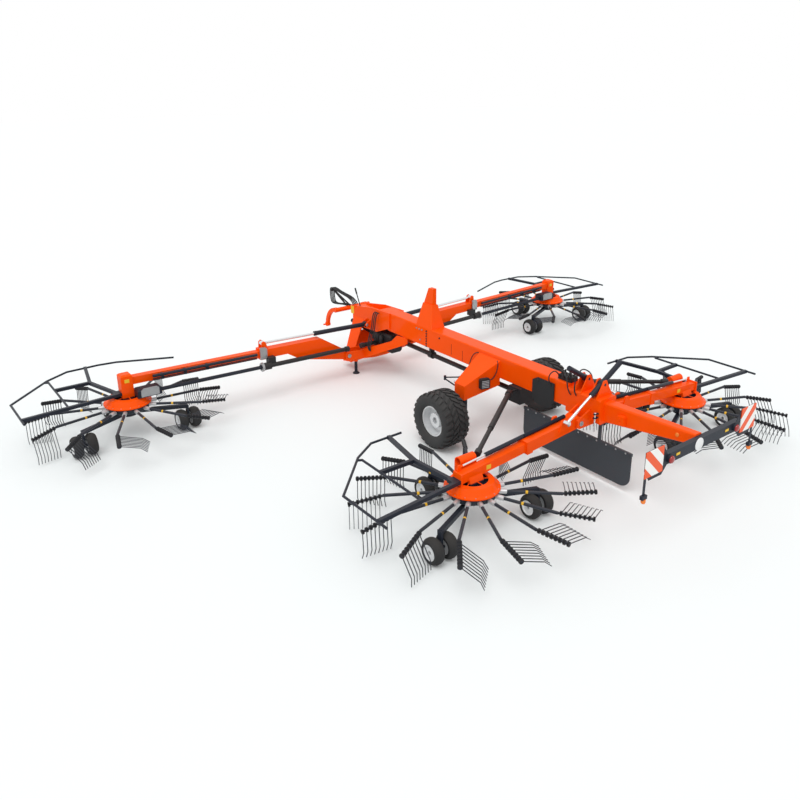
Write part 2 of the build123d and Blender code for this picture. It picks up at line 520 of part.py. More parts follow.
def front_hinges():
    """Cheeks across the boat that hold both front arms' hinge pins, and the jack's sleeve."""
    fold_y, fold_z = FRONT_FOLD
    end, foot, half = fold_y + HINGE_WING, fold_z - 2 * HINGE_WING, HINGE_WING
    edge = ((0, foot), (BEAM_HALF, foot), (fold_y, fold_z - half), (end, fold_z - 0.8 * half),
            (end, fold_z + 0.8 * half), (fold_y, fold_z + half), (BEAM_HALF, fold_z + half / 2),
            (0, fold_z + half / 2))
    pieces = []
    for side in (-1, 1):
        inner = side * (FRONT_EYE_HALF + SIDE_FIT)
        pieces.append(pair(plate_yz(edge, (FRONT_X + inner, FRONT_X + inner + side * PLATE))))
    reach = FRONT_EYE_HALF + SIDE_FIT + PLATE
    pieces.append(pair(cross_pin(FRONT_X, reach, *FRONT_FOLD, HINGE_PIN)))
    web = block((FRONT_X - reach, FRONT_X + reach), (JACK_Y - 60, JACK_Y + 60), (fold_z - 90, fold_z - 40))
    sleeve = rod((FRONT_X, JACK_Y, fold_z - 220), (FRONT_X, JACK_Y, fold_z + 30), JACK_R + WALL)
    return pieces + [web, sleeve]


def tower():
    """Tapered upright, open at the back, that carries the nose."""
    (x0, x1, half), (x2, x3, top_half) = TOWER_FOOT, TOWER_HEAD
    low, high = BOAT_KEEL + 20, TOWER_TOP
    outer = tapered((low, (x0, x1), (-half, half)), (high, (x2, x3), (-top_half, top_half)))
    core = tapered((low, (x0 - PLATE, x1 - PLATE), (PLATE - half, half - PLATE)),
                   (high, (x2 - PLATE, x3 - PLATE), (PLATE - top_half, top_half - PLATE)))
    return outer - core


def head_frame():
    """Boat, tower and cheeks in front of the beam, with the seats of the arms, cylinders and hitch."""
    cheek = ((CHEEK_REAR, BEAM_BOTTOM + 60), (CHEEK_REAR, BEAM_TOP + 10), (FRONT_X - 100, BEAM_TOP - 20),
             (CHEEK_FRONT, SWIVEL_Z + 170), (CHEEK_FRONT, TOWER_TOP - 130), (TOWER_HEAD[0], TOWER_TOP - 200),
             (FRONT_X - 300, TOWER_TOP - 180), (BEAM_FRONT - BEAM_RAKE, BEAM_BOTTOM + 60))
    cheeks = pair(plate_xz(cheek, (BEAM_HALF, BEAM_HALF + PLATE)))
    frame = cheeks + [pair(boat_side()), tower(), *front_hinges()]
    inside = (-BEAM_HALF, BEAM_HALF)
    frame += block((BEAM_FRONT + 10, CHEEK_FRONT), inside, (SWIVEL_Z + 130, SWIVEL_Z + 150))
    frame += block((CHEEK_FRONT - 150, CHEEK_FRONT), inside, (TOWER_TOP - 100, SWIVEL_Z + 140))
    under = SWIVEL_Z - NOSE_DEEP
    frame += block((CHEEK_FRONT - EDGE, SWIVEL_X), (-NOSE_HALF, NOSE_HALF), (under, SWIVEL_Z))
    frame += rod((SWIVEL_X, 0, under), (SWIVEL_X, 0, SWIVEL_Z), NOSE_HALF)
    frame += rod((SWIVEL_X, 0, under), (SWIVEL_X, 0, SWIVEL_Z + SWIVEL_PIN), SWIVEL_R)
    base_y, base_z = CYL_FRONT
    ear = ((BEAM_HALF, base_z - 110), (BEAM_HALF, base_z + 120), (base_y, base_z + 60), (base_y + 55, base_z),
           (base_y, base_z - 60))
    inner = CYL_FRONT_R + SIDE_FIT / 2 + SIDE_FIT
    for side in (-1, 1):
        frame += pair(plate_yz(ear, (FRONT_X + side * inner, FRONT_X + side * (inner + LUG))))
    frame += pair(cross_pin(FRONT_X, inner + LUG, base_y, base_z, CYL_PIN))
    frame -= input_shaft(SHAFT_R * 2)
    return frame - rod((FRONT_X, JACK_Y, 0), (FRONT_X, JACK_Y, BEAM_BOTTOM), JACK_R + RUN_FIT)


def jack_leg():
    """Parking jack: a leg on a dished foot."""
    foot = ((0, 0), (JACK_FOOT, 0), (JACK_FOOT, 12), (JACK_R + 10, 40), (0, 40))
    leg = rod((FRONT_X, JACK_Y, 20), (FRONT_X, JACK_Y, JACK_TOP), JACK_R)
    return leg + Pos(FRONT_X, JACK_Y, 0) * revolve(Plane.XZ * Polygon(*foot, align=None), axis=Axis.Z)


def headstock():
    """Swivelling cross tube with two hooks that carry the lower-link pins."""
    ring = Circle(HOOK_R + HOOK_DEEP / 2) - Circle(HOOK_R - HOOK_DEEP / 2)
    quarter = ring & (Pos(HOOK_R, HOOK_R) * Rectangle(2 * HOOK_R, 2 * HOOK_R))
    bend = extrude(Plane.XZ * quarter, amount=HOOK_WIDE / 2, both=True)
    tip_x, tip_z = HOOK_X + HOOK_R, HOOK_Z - HOOK_R
    hook = Pos(HOOK_X, HOOK_Y, tip_z) * bend
    inner, outer = HOOK_Y - HOOK_WIDE / 2, HOOK_Y + HOOK_WIDE / 2
    hook += rod((tip_x, inner - 5, tip_z), (tip_x, outer + 10, tip_z), HOOK_DEEP * 0.62)
    hook += rod((tip_x, inner, tip_z), (tip_x, outer + 10 + LINK_PIN_LENGTH, tip_z), LINK_PIN)
    stock = rod((HOOK_X, -outer - 30, HOOK_Z), (HOOK_X, outer + 30, HOOK_Z), HOOK_DEEP * 0.6)
    stock += pair(hook)
    seat = SWIVEL_Z + RUN_FIT
    stock += block((SWIVEL_X, HOOK_X), (-NOSE_HALF * 0.8, NOSE_HALF * 0.8), (seat, SWIVEL_Z + 90))
    stock += rod((SWIVEL_X, 0, seat), (SWIVEL_X, 0, SWIVEL_Z + 115), SWIVEL_R + 45)
    return stock - rod((SWIVEL_X, 0, SWIVEL_Z), (SWIVEL_X, 0, SWIVEL_Z + 400), SWIVEL_R + RUN_FIT)


def input_shaft(radius):
    """Round bar from the gearbox forwards through the tower to the hitch."""
    return rod((GEAR_X[1], 0, INPUT_Z[0]), (SWIVEL_X + 180, 0, INPUT_Z[1]), radius)


def drive_line():
    """Gearboxes and shafts under the main beam, with the stubs for the arms' shafts."""
    main = block(GEAR_X, (-BEAM_HALF + 10, BEAM_HALF - 10), GEAR_Z)
    main = chamfer(main.edges().filter_by(Axis.X), EDGE * 3)
    split_z = (DRIVE_Z - 90, BEAM_BOTTOM)
    pieces = [rod((GEAR_X[1], 0, INPUT_Z[0]), (GEAR_X[1] + 90, 0, INPUT_Z[0]), 130),
              input_shaft(SHAFT_R),
              rod((GEAR_X[0] + 10, 0, DRIVE_Z), (SPLIT_X, 0, DRIVE_Z), SHAFT_R),
              block((SPLIT_X - 150, SPLIT_X + 150), (-260, 260), split_z)]
    for x in (POST_X - 60, SPLIT_X + 240):
        pieces.append(rod((x - 60, 0, DRIVE_Z), (x + 60, 0, DRIVE_Z), SHAFT_R + 30))
        pieces.append(block((x - 30, x + 30), (-50, 50), (DRIVE_Z, BEAM_BOTTOM)))
    ball_x, ball_y, ball_z = SHAFT_FROM
    stub_x = FRONT_X + SHAFT_X
    stub_z = on_front_axis(SHAFT_ROOT, SHAFT_DROP)
    stubs = Pos(*SHAFT_FROM) * Sphere(SHAFT_BALL)
    stubs += rod((ball_x, 250, ball_z), (ball_x, ball_y, ball_z), SHAFT_BALL / 2)
    stubs += rod((stub_x, BEAM_HALF - 20, stub_z), (stub_x, STUB_Y, stub_z), SHAFT_R)
    stubs += rod((stub_x, STUB_Y - CLUTCH / 2, stub_z), (stub_x, STUB_Y, stub_z), SHAFT_R + 14)
    return main + pieces + pair(stubs)


def axle_legs():
    """Legs lofted from the beam out to the kingpins."""
    (x0, x1), (z0, z1) = LEG_ROOT
    (x2, x3), (z2, z3) = LEG_END
    root, end = BEAM_HALF, KINGPIN_Y + LEG_OUT
    ends = []
    for y, (low_x, high_x), (low_z, high_z) in ((root, (x0, x1), (z0, z1)), (end, (x2, x3), (z2, z3))):
        place = Plane(origin=(AXLE_X + (low_x + high_x) / 2, y, (low_z + high_z) / 2), x_dir=(1, 0, 0),
                      z_dir=(0, 1, 0))
        ends.append(place * Rectangle(high_x - low_x, high_z - low_z))
    leg = loft(ends)
    leg -= rod((AXLE_X, KINGPIN_Y, 0), (AXLE_X, KINGPIN_Y, KING_Z + 160), KING_R + RUN_FIT)
    return pair(leg)


def knuckle():
    """Kingpin, upright, stub axle and steering arm."""
    y, under = KINGPIN_Y, KING_Z - SIDE_FIT
    post = rod((AXLE_X, y, WHEEL_R - UPRIGHT_R), (AXLE_X, y, under), UPRIGHT_R)
    pin = rod((AXLE_X, y, under - STEER_DEEP), (AXLE_X, y, KING_Z + 2 * UPRIGHT_R), KING_R)
    tip = AXLE_X + STEER_ARM
    arm = ((AXLE_X, under - UPRIGHT_R), (AXLE_X, under), (tip, under), (tip, under - STEER_DEEP))
    stub = rod((AXLE_X, y, WHEEL_R), (AXLE_X, TRACK_Y + STUB_R, WHEEL_R), STUB_R)
    return post + [pin, plate_xz(arm, (y - STEER_DEEP, y + STEER_DEEP)), stub]


def main_tyre():
    """Wide road tyre with a rounded shoulder."""
    half, wall = WHEEL_W / 2, WHEEL_R - RIM_R
    side = BEAD / 5 - half
    outline = [(RIM_R, BEAD - half), (RIM_R + wall / 5, side), (RIM_R + wall / 2, -half),
               (WHEEL_R - SHOULDER, side), (WHEEL_R - SHOULDER / 3, SHOULDER - half),
               (WHEEL_R, 2 * SHOULDER - half)]
    outline += [(radius, -offset) for radius, offset in reversed(outline)]
    return Pos(AXLE_X, TRACK_Y, WHEEL_R) * turned(outline)


def main_rim():
    """Dished rim with its hub."""
    edge, bore, band = WHEEL_W / 2 - BEAD, STUB_R + RUN_FIT, RIM_R - LUG
    outline = ((bore, -DISH), (DISH_R, -DISH), (band, -DISH / 4), (band, edge), (RIM_R, edge), (RIM_R, -edge),
               (band, -edge), (band, -1.25 * DISH), (DISH_R, -2 * DISH), (DISH_R - EDGE, -HUB_DEEP),
               (bore, -HUB_DEEP))
    return Pos(AXLE_X, TRACK_Y, WHEEL_R) * turned(outline)


def tail_frame():
    """Rear head: hinge cheeks, trunnion brackets of the crossed cylinders, and the boom."""
    deck = TAIL_Z[1] - EDGE
    root = REAR_X - TAIL_ROOT
    frame = block((root, BEAM_REAR), (-TAIL_HALF, TAIL_HALF), TAIL_Z)
    frame = chamfer(frame.edges().filter_by(Axis.X), EDGE * 2)
    fold_y, fold_z = REAR_FOLD
    wing, end = HINGE_WING, fold_y + HINGE_WING
    cheek_plate = ((0, fold_z - wing), (fold_y + PLATE, fold_z - wing), (end, fold_z - 0.7 * wing),
                   (end, fold_z + 0.7 * wing), (fold_y + PLATE, fold_z + wing),
                   (TAIL_HALF, fold_z + TAIL_HALF), (0, fold_z + TAIL_HALF))
    reach = REAR_EYE_HALF + SIDE_FIT + PLATE
    pieces = [pair(cross_pin(REAR_X, reach, *REAR_FOLD, HINGE_PIN))]
    pivot_y, pivot_z = CYL_REAR
    ear = 0.8 * HINGE_WING
    bracket = ((-TAIL_HALF, deck), (pivot_y - ear, pivot_z), (pivot_y - ear / 2, pivot_z + ear),
               (pivot_y + ear / 2, pivot_z + ear), (pivot_y + ear, pivot_z), (TAIL_HALF, deck))
    cheek = CYL_REAR_R + SIDE_FIT / 2 + SIDE_FIT
    for side in (-1, 1):
        hinge = REAR_X + side * (REAR_EYE_HALF + SIDE_FIT)
        pieces.append(pair(plate_yz(cheek_plate, (hinge, hinge + side * PLATE))))
        slab = REAR_X + side * CYL_REAR_SLAB
        hole = cross_pin(slab, cheek + 2 * LUG, pivot_y, pivot_z, CYL_PIN + RUN_FIT)
        for face in (-1, 1):
            pieces.append(plate_yz(bracket, (slab + face * cheek, slab + face * (cheek + LUG))) - hole)
    ends = []
    for x, (half, bottom, top) in ((root + EDGE, BOOM_ROOT), (TAIL_X, BOOM_END)):
        place = Plane(origin=(x, 0, (bottom + top) / 2), x_dir=(0, 1, 0), z_dir=(-1, 0, 0))
        ends.append(place * Rectangle(2 * half, top - bottom))
    boom = loft(ends)
    boom = fillet(boom.edges().filter_by(lambda edge: edge.length > BAR_HALF), EDGE * 2)
    return frame + [*pieces, boom]


def light_bar():
    """Channel across the tail with the boards' plates, the lamps and the marker lamps' stems."""
    low, high = BAR_Z
    channel = block((TAIL_X - BAR_DEEP, TAIL_X), (-BAR_HALF, BAR_HALF), BAR_Z)
    channel -= pair(block((TAIL_X - BAR_DEEP + WALL, TAIL_X + 1), (BOOM_END[0] + PLATE, BAR_HALF - WALL),
                          (low + WALL, high - WALL)))
    y, z = BOARD_AT
    back = TAIL_X - BAR_DEEP
    far, top, foot = y + BOARD, z + BOARD, z - LAMP_R
    outline = ((y - FLAP, low), (y - FLAP, high), (y, top), (far, top), (far, z + FLAP),
               (far - FLAP, foot), (y, foot))
    plate = plate_yz(outline, (back, back + SHEET))
    lamp_y, middle = y - FLAP - LAMP_DEEP, (low + high) / 2
    lamp = rod((back + SHEET / 2, lamp_y, middle), (back - LAMP_DEEP, lamp_y, middle), LAMP_R)
    stem = block((back, back + SHEET), (MARKER_Y - MARKER / 2, MARKER_Y + MARKER / 2), (MARKER_Z, z + LAMP_R))
    marker = block((back - MARKER / 2, back + MARKER / 2), (MARKER_Y - MARKER, MARKER_Y + MARKER),
                   (MARKER_Z - MARKER, MARKER_Z + SHEET))
    return channel + pair(plate + [lamp, stem, marker])


def warning_boards():
    """Square boards on the light bar's plates."""
    y, z = BOARD_AT
    back = TAIL_X - BAR_DEEP
    return pair(block((back - 12, back), (y, y + BOARD), (z, z + BOARD)))


def swath_curtain():
    """Hanging sheet beside the swath, with rounded lower corners, on a rail and two hangers."""
    x0, x1 = (REAR_X + x for x in CURTAIN_X)
    low, high = CURTAIN_Z
    sheet = block((x0, x1), CURTAIN_Y, CURTAIN_Z)
    sheet = fillet(sheet.edges().filter_by(Axis.Y).group_by(Axis.Z)[0], (high - low) / 3)
    curtain = sheet + block((x0, x1), (CURTAIN_Y[0] - 15, CURTAIN_Y[1] + 15), (high - 10, high + 40))
    for x in CURTAIN_HANGERS:
        curtain += block((REAR_X + x - 25, REAR_X + x + 25), (CURTAIN_Y[0] - 15, CURTAIN_Y[1] + 15),
                         (high, TAIL_Z[0]))
    return curtain


SIDES = {"left": lambda shape: shape, "right": lambda shape: mirror(shape, about=Plane.XZ)}

nodes = {"main_beam": main_beam(), "head_frame": head_frame(), "tail_frame": tail_frame(),
         "axle_legs": axle_legs(), "drive_line": drive_line(), "light_bar": light_bar(),
         "warning_boards": warning_boards(), "swath_curtain": swath_curtain(), "jack_leg": jack_leg(),
         "headstock": headstock()}

front_barrel, front_rod = fold_cylinder(CYL_FRONT, CYL_FRONT_EYE, FRONT_X, CYL_FRONT_R, CYL_FRONT_ROD,
                                        0, CYL_FRONT_BARREL)
rear_sleeve, rear_core = rear_shaft()
left = {"knuckle": knuckle(), "main_tyre": main_tyre(), "main_rim": main_rim(),
        "front_outer": front_outer(), "front_inner": front_inner(), "front_frame": front_frame(),
        "front_shaft": front_shaft(), "front_barrel": front_barrel, "front_rod": front_rod,
        "rear_base": rear_base(), "rear_slide": rear_slide(), "rear_frame": rear_frame(),
        "rear_sleeve": rear_sleeve, "rear_core": rear_core}
for rotor, count, bearings, tip_r, centre in ROTORS:
    for place in PAIR_AT:
        left[f"{rotor}_wheels_{place}"] = Pos(*centre, 0) * wheel_pair(place)
for name, shape in left.items():
    for side, placed in SIDES.items():
        nodes[f"{name}_{side}"] = placed(shape)

# The rear cylinders cross: the left one lies behind the arms and the right one ahead of them.
for side, slab in (("left", -CYL_REAR_SLAB), ("right", CYL_REAR_SLAB)):
    cylinder = fold_cylinder(CYL_REAR, CYL_REAR_EYE, REAR_X + slab, CYL_REAR_R, CYL_REAR_ROD,
                             CYL_REAR_BACK, CYL_REAR_MOUTH)
    for name, shape in zip(("rear_barrel", "rear_rod"), cylinder):
        nodes[f"{name}_{side}"] = SIDES[side](shape)

for rotor, count, bearings, tip_r, centre in ROTORS:
    for side, placed in SIDES.items():
        nodes[f"{rotor}_rotor_{side}"] = placed(Pos(*centre, 0) * reel(count, bearings[side], tip_r))

for name, shape in nodes.items():
    export_step(shape, f"parts/{name}.step")
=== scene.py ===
import json
from math import cos, pi, radians, sin, tan

import bmesh
import bpy
from mathutils import Matrix, Vector


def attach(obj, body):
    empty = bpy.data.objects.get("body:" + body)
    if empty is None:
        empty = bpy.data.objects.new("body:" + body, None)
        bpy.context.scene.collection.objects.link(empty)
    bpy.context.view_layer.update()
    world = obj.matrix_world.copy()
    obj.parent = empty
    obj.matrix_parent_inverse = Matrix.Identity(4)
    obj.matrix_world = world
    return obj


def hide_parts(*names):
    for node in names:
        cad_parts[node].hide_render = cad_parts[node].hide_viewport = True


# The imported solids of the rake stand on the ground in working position.
# Every piece below is dressed or added around them, in metres.
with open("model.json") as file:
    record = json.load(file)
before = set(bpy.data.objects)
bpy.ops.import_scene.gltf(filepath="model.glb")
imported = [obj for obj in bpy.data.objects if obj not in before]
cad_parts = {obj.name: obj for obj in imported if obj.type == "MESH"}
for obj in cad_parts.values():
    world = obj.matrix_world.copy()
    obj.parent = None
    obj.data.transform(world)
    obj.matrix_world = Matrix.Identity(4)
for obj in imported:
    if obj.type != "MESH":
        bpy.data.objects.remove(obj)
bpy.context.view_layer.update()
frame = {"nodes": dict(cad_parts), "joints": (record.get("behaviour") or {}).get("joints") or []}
nodes = frame["nodes"]
SIDES = (("left", 1), ("right", -1))


# Orange paint: beams, arms, frames and cam housings are welded steel, sprayed in gloss enamel.
# Dust lies on the upward faces, and the film has a slight orange peel.
def new_group(name, inputs, outputs):
    """An empty shader node group with these sockets, and its own input and output nodes."""
    group = bpy.data.node_groups.new(name, "ShaderNodeTree")
    for socket, kind, value in inputs:
        made = group.interface.new_socket(socket, in_out="INPUT", socket_type=kind)
        made.default_value = value
    for socket, kind in outputs:
        group.interface.new_socket(socket, in_out="OUTPUT", socket_type=kind)
    return group, group.nodes.new("NodeGroupInput"), group.nodes.new("NodeGroupOutput")


def add(tree, kind, **settings):
    """A shader node with its settings; names of properties set those, others set sockets."""
    node = tree.nodes.new(kind)
    for name, value in settings.items():
        if hasattr(node, name):
            setattr(node, name, value)
        else:
            node.inputs[name.replace("_", " ")].default_value = value
    return node


def feed(tree, socket, value):
    """Link a socket to another node's output, or set it to a plain value."""
    if isinstance(value, bpy.types.NodeSocket):
        tree.links.new(value, socket)
    else:
        socket.default_value = value


def math_node(tree, operation, *values):
    """Result of a maths node whose values are numbers or other nodes' outputs."""
    node = add(tree, "ShaderNodeMath", operation=operation)
    for socket, value in zip(node.inputs, values):
        feed(tree, socket, value)
    return node.outputs[0]


def mix_colour(tree, mask, low, high):
    """Colour between low and high by the mask."""
    node = add(tree, "ShaderNodeMix", data_type="RGBA")
    for place, value in ((0, mask), (6, low), (7, high)):
        feed(tree, node.inputs[place], value)
    return node.outputs[2]


COLOUR, FLOAT = "NodeSocketColor", "NodeSocketFloat"
DUST_COLOUR = (0.42, 0.36, 0.29, 1)
weathering, ins, outs = new_group(
    "weathering",
    (("Colour", COLOUR, (1, 1, 1, 1)), ("Dust Colour", COLOUR, DUST_COLOUR), ("Dust", FLOAT, 0.2),
     ("Variation", FLOAT, 0.12), ("Roughness", FLOAT, 0.35), ("Scale", FLOAT, 3.0)),
    (("Colour", COLOUR), ("Roughness", FLOAT), ("Height", FLOAT)))
place = add(weathering, "ShaderNodeTexCoord").outputs["Object"]
cloud = add(weathering, "ShaderNodeTexNoise", Detail=5.0, Roughness=0.6)
grain = add(weathering, "ShaderNodeTexNoise", Scale=420.0, Detail=2.0)
for texture in (cloud, grain):
    weathering.links.new(place, texture.inputs["Vector"])
weathering.links.new(ins.outputs["Scale"], cloud.inputs["Scale"])
facing = add(weathering, "ShaderNodeSeparateXYZ")
weathering.links.new(add(weathering, "ShaderNodeNewGeometry").outputs["Normal"], facing.inputs[0])
up = math_node(weathering, "MAXIMUM", facing.outputs["Z"], 0.0)
patch = math_node(weathering, "MULTIPLY", cloud.outputs[0], up)
dust = math_node(weathering, "MULTIPLY", patch, ins.outputs["Dust"])
swing = math_node(weathering, "SUBTRACT", cloud.outputs[0], 0.5)
shade = math_node(weathering, "MULTIPLY", swing, ins.outputs["Variation"])
tone = add(weathering, "ShaderNodeHueSaturation")
weathering.links.new(ins.outputs["Colour"], tone.inputs["Color"])
weathering.links.new(math_node(weathering, "ADD", shade, 1.0), tone.inputs["Value"])
dusted = mix_colour(weathering, dust, tone.outputs[0], ins.outputs["Dust Colour"])
weathering.links.new(dusted, outs.inputs["Colour"])
wear = math_node(weathering, "ADD", shade, dust)
rough = math_node(weathering, "ADD", ins.outputs["Roughness"], wear)
weathering.links.new(rough, outs.inputs["Roughness"])
weathering.links.new(grain.outputs[0], outs.inputs["Height"])
COAT_ROUGHNESS = 0.08


def finish(name, colour, roughness=0.4, metallic=0.0, coat=0.0, dust=0.06, variation=0.15,
           scale=3.0, bump=0.02, depth=0.0008, specular=0.35):
    """A weathered material; returns it with its group node and shader for further marks."""
    material = bpy.data.materials.new(name)
    material.use_nodes = True
    tree = material.node_tree
    shader = tree.nodes["Principled BSDF"]
    group = add(tree, "ShaderNodeGroup", node_tree=weathering)
    settings = {"Colour": (*colour, 1), "Dust": dust, "Variation": variation,
                "Roughness": roughness, "Scale": scale}
    for socket, value in settings.items():
        group.inputs[socket].default_value = value
    tree.links.new(group.outputs["Colour"], shader.inputs["Base Color"])
    tree.links.new(group.outputs["Roughness"], shader.inputs["Roughness"])
    relief = add(tree, "ShaderNodeBump", Strength=bump, Distance=depth)
    tree.links.new(group.outputs["Height"], relief.inputs["Height"])
    tree.links.new(relief.outputs[0], shader.inputs["Normal"])
    shader.inputs["Metallic"].default_value = metallic
    shader.inputs["Specular IOR Level"].default_value = specular
    shader.inputs["Coat Weight"].default_value = coat
    shader.inputs["Coat Roughness"].default_value = COAT_ROUGHNESS
    return material, group, shader


def dress(material, *names):
    """Give CAD nodes a material."""
    for name in names:
        mesh = nodes[name].data
        mesh.materials.clear()
        mesh.materials.append(material)


def both(*names):
    """Node names of both sides."""
    return [f"{name}_{side}" for name in names for side, sign in SIDES]


ORANGE = (0.95, 0.085, 0.001)


def orange(name):
    """The gloss orange, with its group node and shader."""
    return finish(name, ORANGE, roughness=0.35, coat=0.16, dust=0.02, variation=0.1,
                  specular=0.03)


orange_paint, *_ = orange("orange_paint")
dress(orange_paint, "head_frame", "tail_frame", "axle_legs", "headstock", *both("front_outer"))


# Fixings: zinc-plated hexagon bolts with washers hold the post's foot to the beam's sides.
# They are turned and pressed parts, added on the welded plates.
def facing_frame(origin, direction):
    """Matrix at a point, its z along the direction."""
    z = Vector(direction).normalized()
    level = Vector((0, 0, 1)) if abs(z.z) < 0.95 else Vector((1, 0, 0))
    x = level.cross(z).normalized()
    matrix = Matrix((x, z.cross(x), z)).transposed().to_4x4()
    matrix.translation = origin
    return matrix


def turn(bm, profile, matrix, segments, closed=False):
    """Turn (radius, height) points about the matrix's z; a closed profile makes a ring."""
    rings = []
    for radius, height in profile:
        angles = [2 * pi * k / segments for k in range(segments if radius else 1)]
        rings.append([bm.verts.new(matrix @ Vector((radius * cos(a), radius * sin(a), height)))
                      for a in angles])
    if closed:
        rings.append(rings[0])
    for low, high in zip(rings, rings[1:]):
        for k in range(segments):
            n = k + 1
            corners = (low[k % len(low)], low[n % len(low)],
                       high[n % len(high)], high[k % len(high)])
            corners = list(dict.fromkeys(corners))
            if len(corners) > 2:
                bm.faces.new(corners)


def fix(name, bm, material, body, sharp=35):
    """Make the mesh a piece that rides on a body."""
    bmesh.ops.recalc_face_normals(bm, faces=bm.faces[:])
    for face in bm.faces:
        face.smooth = True
    for rim in bm.edges:
        rim.smooth = rim.calc_face_angle(0) < radians(sharp)
    mesh = bpy.data.meshes.new(name)
    bm.to_mesh(mesh)
    bm.free()
    mesh.materials.append(material)
    made = bpy.data.objects.new(name, mesh)
    bpy.context.collection.objects.link(made)
    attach(made, body)
    return made


ZINC_GREY = (0.42, 0.43, 0.44)
zinc, *_ = finish("galvanised_steel", ZINC_GREY, roughness=0.42, metallic=0.9, dust=0.1,
                  variation=0.3, scale=18.0)
HEXAGON = 6
BEAM_SIDE = 0.17
WASHER_BOLT = ((0, 0), (0.02, 0), (0.02, 0.004), (0.015, 0.004), (0.015, 0.015), (0.011, 0.018),
               (0, 0.018))
FOOT_BOLTS = ((1.4, 1.47), (1.49, 1.47), (1.58, 1.47), (1.46, 1.24))
bm = bmesh.new()
for side, sign in SIDES:
    for x, z in FOOT_BOLTS:
        turn(bm, WASHER_BOLT, facing_frame((x, sign * BEAM_SIDE, z), (0, sign, 0)), HEXAGON)
fix("frame_bolts", bm, zinc, "chassis")


# Side flap: a black rubber and steel guard on the beam's left side, ahead of the rear arms.
# It is cut from sheet and hangs from two bolts.
def sheet_metal(bm, outline, thickness, matrix, edge=0.003):
    """Flat plate with this outline in the matrix's x and y, its edges broken."""
    low = [bm.verts.new(matrix @ Vector((x, y, 0))) for x, y in outline]
    high = [bm.verts.new(matrix @ Vector((x, y, thickness))) for x, y in outline]
    faces = [bm.faces.new(low[::-1]), bm.faces.new(high)]
    for k in range(len(outline)):
        n = (k + 1) % len(outline)
        faces.append(bm.faces.new((low[k], low[n], high[n], high[k])))
    edges = {rim for face in faces for rim in face.edges}
    bmesh.ops.bevel(bm, geom=list(edges), offset=edge, segments=2, affect="EDGES",
                    clamp_overlap=True)


def upright(x, y, z, way):
    """Matrix of a plate that stands along the machine, its thickness along y by the way."""
    return Matrix(((1, 0, 0, x), (0, 0, way, y), (0, 1, 0, z), (0, 0, 0, 1)))


black_rubber, *_ = finish("black_rubber", (0.02, 0.021, 0.023), roughness=0.65, dust=0.06,
                          variation=0.3, bump=0.25)
FLAP = ((-2.36, 1.47), (-2.36, 1.16), (-2.31, 1.02), (-2.2, 0.96), (-1.92, 0.98), (-1.84, 1.08),
        (-1.84, 1.4), (-1.96, 1.47))
FLAP_FACE, FLAP_THICK, FLAP_HANG = BEAM_SIDE + 0.03, 0.014, 1.42
SPACER = ((0, 0), (0.022, 0), (0.022, 0.016), (0.016, 0.02), (0, 0.02))
FLAP_BOLT = ((0, 0), (0.02, 0), (0.02, 0.008), (0.012, 0.014), (0, 0.014))
bm = bmesh.new()
sheet_metal(bm, FLAP, FLAP_THICK, upright(0, FLAP_FACE, 0, -1))
for x in (-2.28, -1.98):
    turn(bm, SPACER, facing_frame((x, BEAM_SIDE - 0.002, FLAP_HANG), (0, 1, 0)), 12)
    turn(bm, FLAP_BOLT, facing_frame((x, FLAP_FACE, FLAP_HANG), (0, 1, 0)), HEXAGON)
fix("side_flap", bm, black_rubber, "chassis")


# Anthracite paint: tubes, bogies, cylinders' barrels and knuckles are steel in satin blue-black.
# The same paint is on the channel of the light bar and the parking jack.
ANTHRACITE = (0.013, 0.017, 0.028)
dark_paint, *_ = finish("anthracite_paint", ANTHRACITE, roughness=0.42, dust=0.04, variation=0.3,
                        specular=0.25)
dress(dark_paint, "light_bar", "jack_leg",
      *both("front_frame", "rear_frame", "knuckle", "front_barrel", "rear_barrel"))


# Post bolts: a column of bolts in the dark paint joins the post's inner plate to each beam side.
# They are pressed steel, and a single one closes a hole behind them.
POST_X, POST_LOW, POST_STEP, POST_ROWS = 1.25, 1.15, 0.055, 7
bm = bmesh.new()
for side, sign in SIDES:
    for x, z in [(POST_X, POST_LOW + POST_STEP * k) for k in range(POST_ROWS)] + [(0.82, 1.44)]:
        turn(bm, WASHER_BOLT, facing_frame((x, sign * BEAM_SIDE, z), (0, sign, 0)), HEXAGON)
fix("post_bolts", bm, dark_paint, "chassis")


# Cylinder rods: ground steel bars of the fold cylinders, hard-chromed.
# They stay bright where they run in the seals.
CHROME = (0.78, 0.79, 0.8)
chrome, *_ = finish("chromed_rod", CHROME, roughness=0.12, metallic=1.0, dust=0.05, variation=0.05)
dress(chrome, *both("front_rod", "rear_rod"))


# Width cylinders: each lies along the top of a rear arm, a painted barrel and a chromed rod.
# They belong to the arm's two beams, so the paint changes along the cylinder's own line.
# A dark steel tube guards the rod, and the tray round each rotor's column gets painted shade
# inside, darkest at its floor.
def vector_math(tree, operation, *values):
    """Result of a vector node: a number for products and lengths, or else a vector."""
    node = add(tree, "ShaderNodeVectorMath", operation=operation)
    for socket, value in zip(node.inputs, values):
        feed(tree, socket, value)
    scalar = operation in ("DOT_PRODUCT", "LENGTH", "DISTANCE")
    return node.outputs["Value" if scalar else "Vector"]


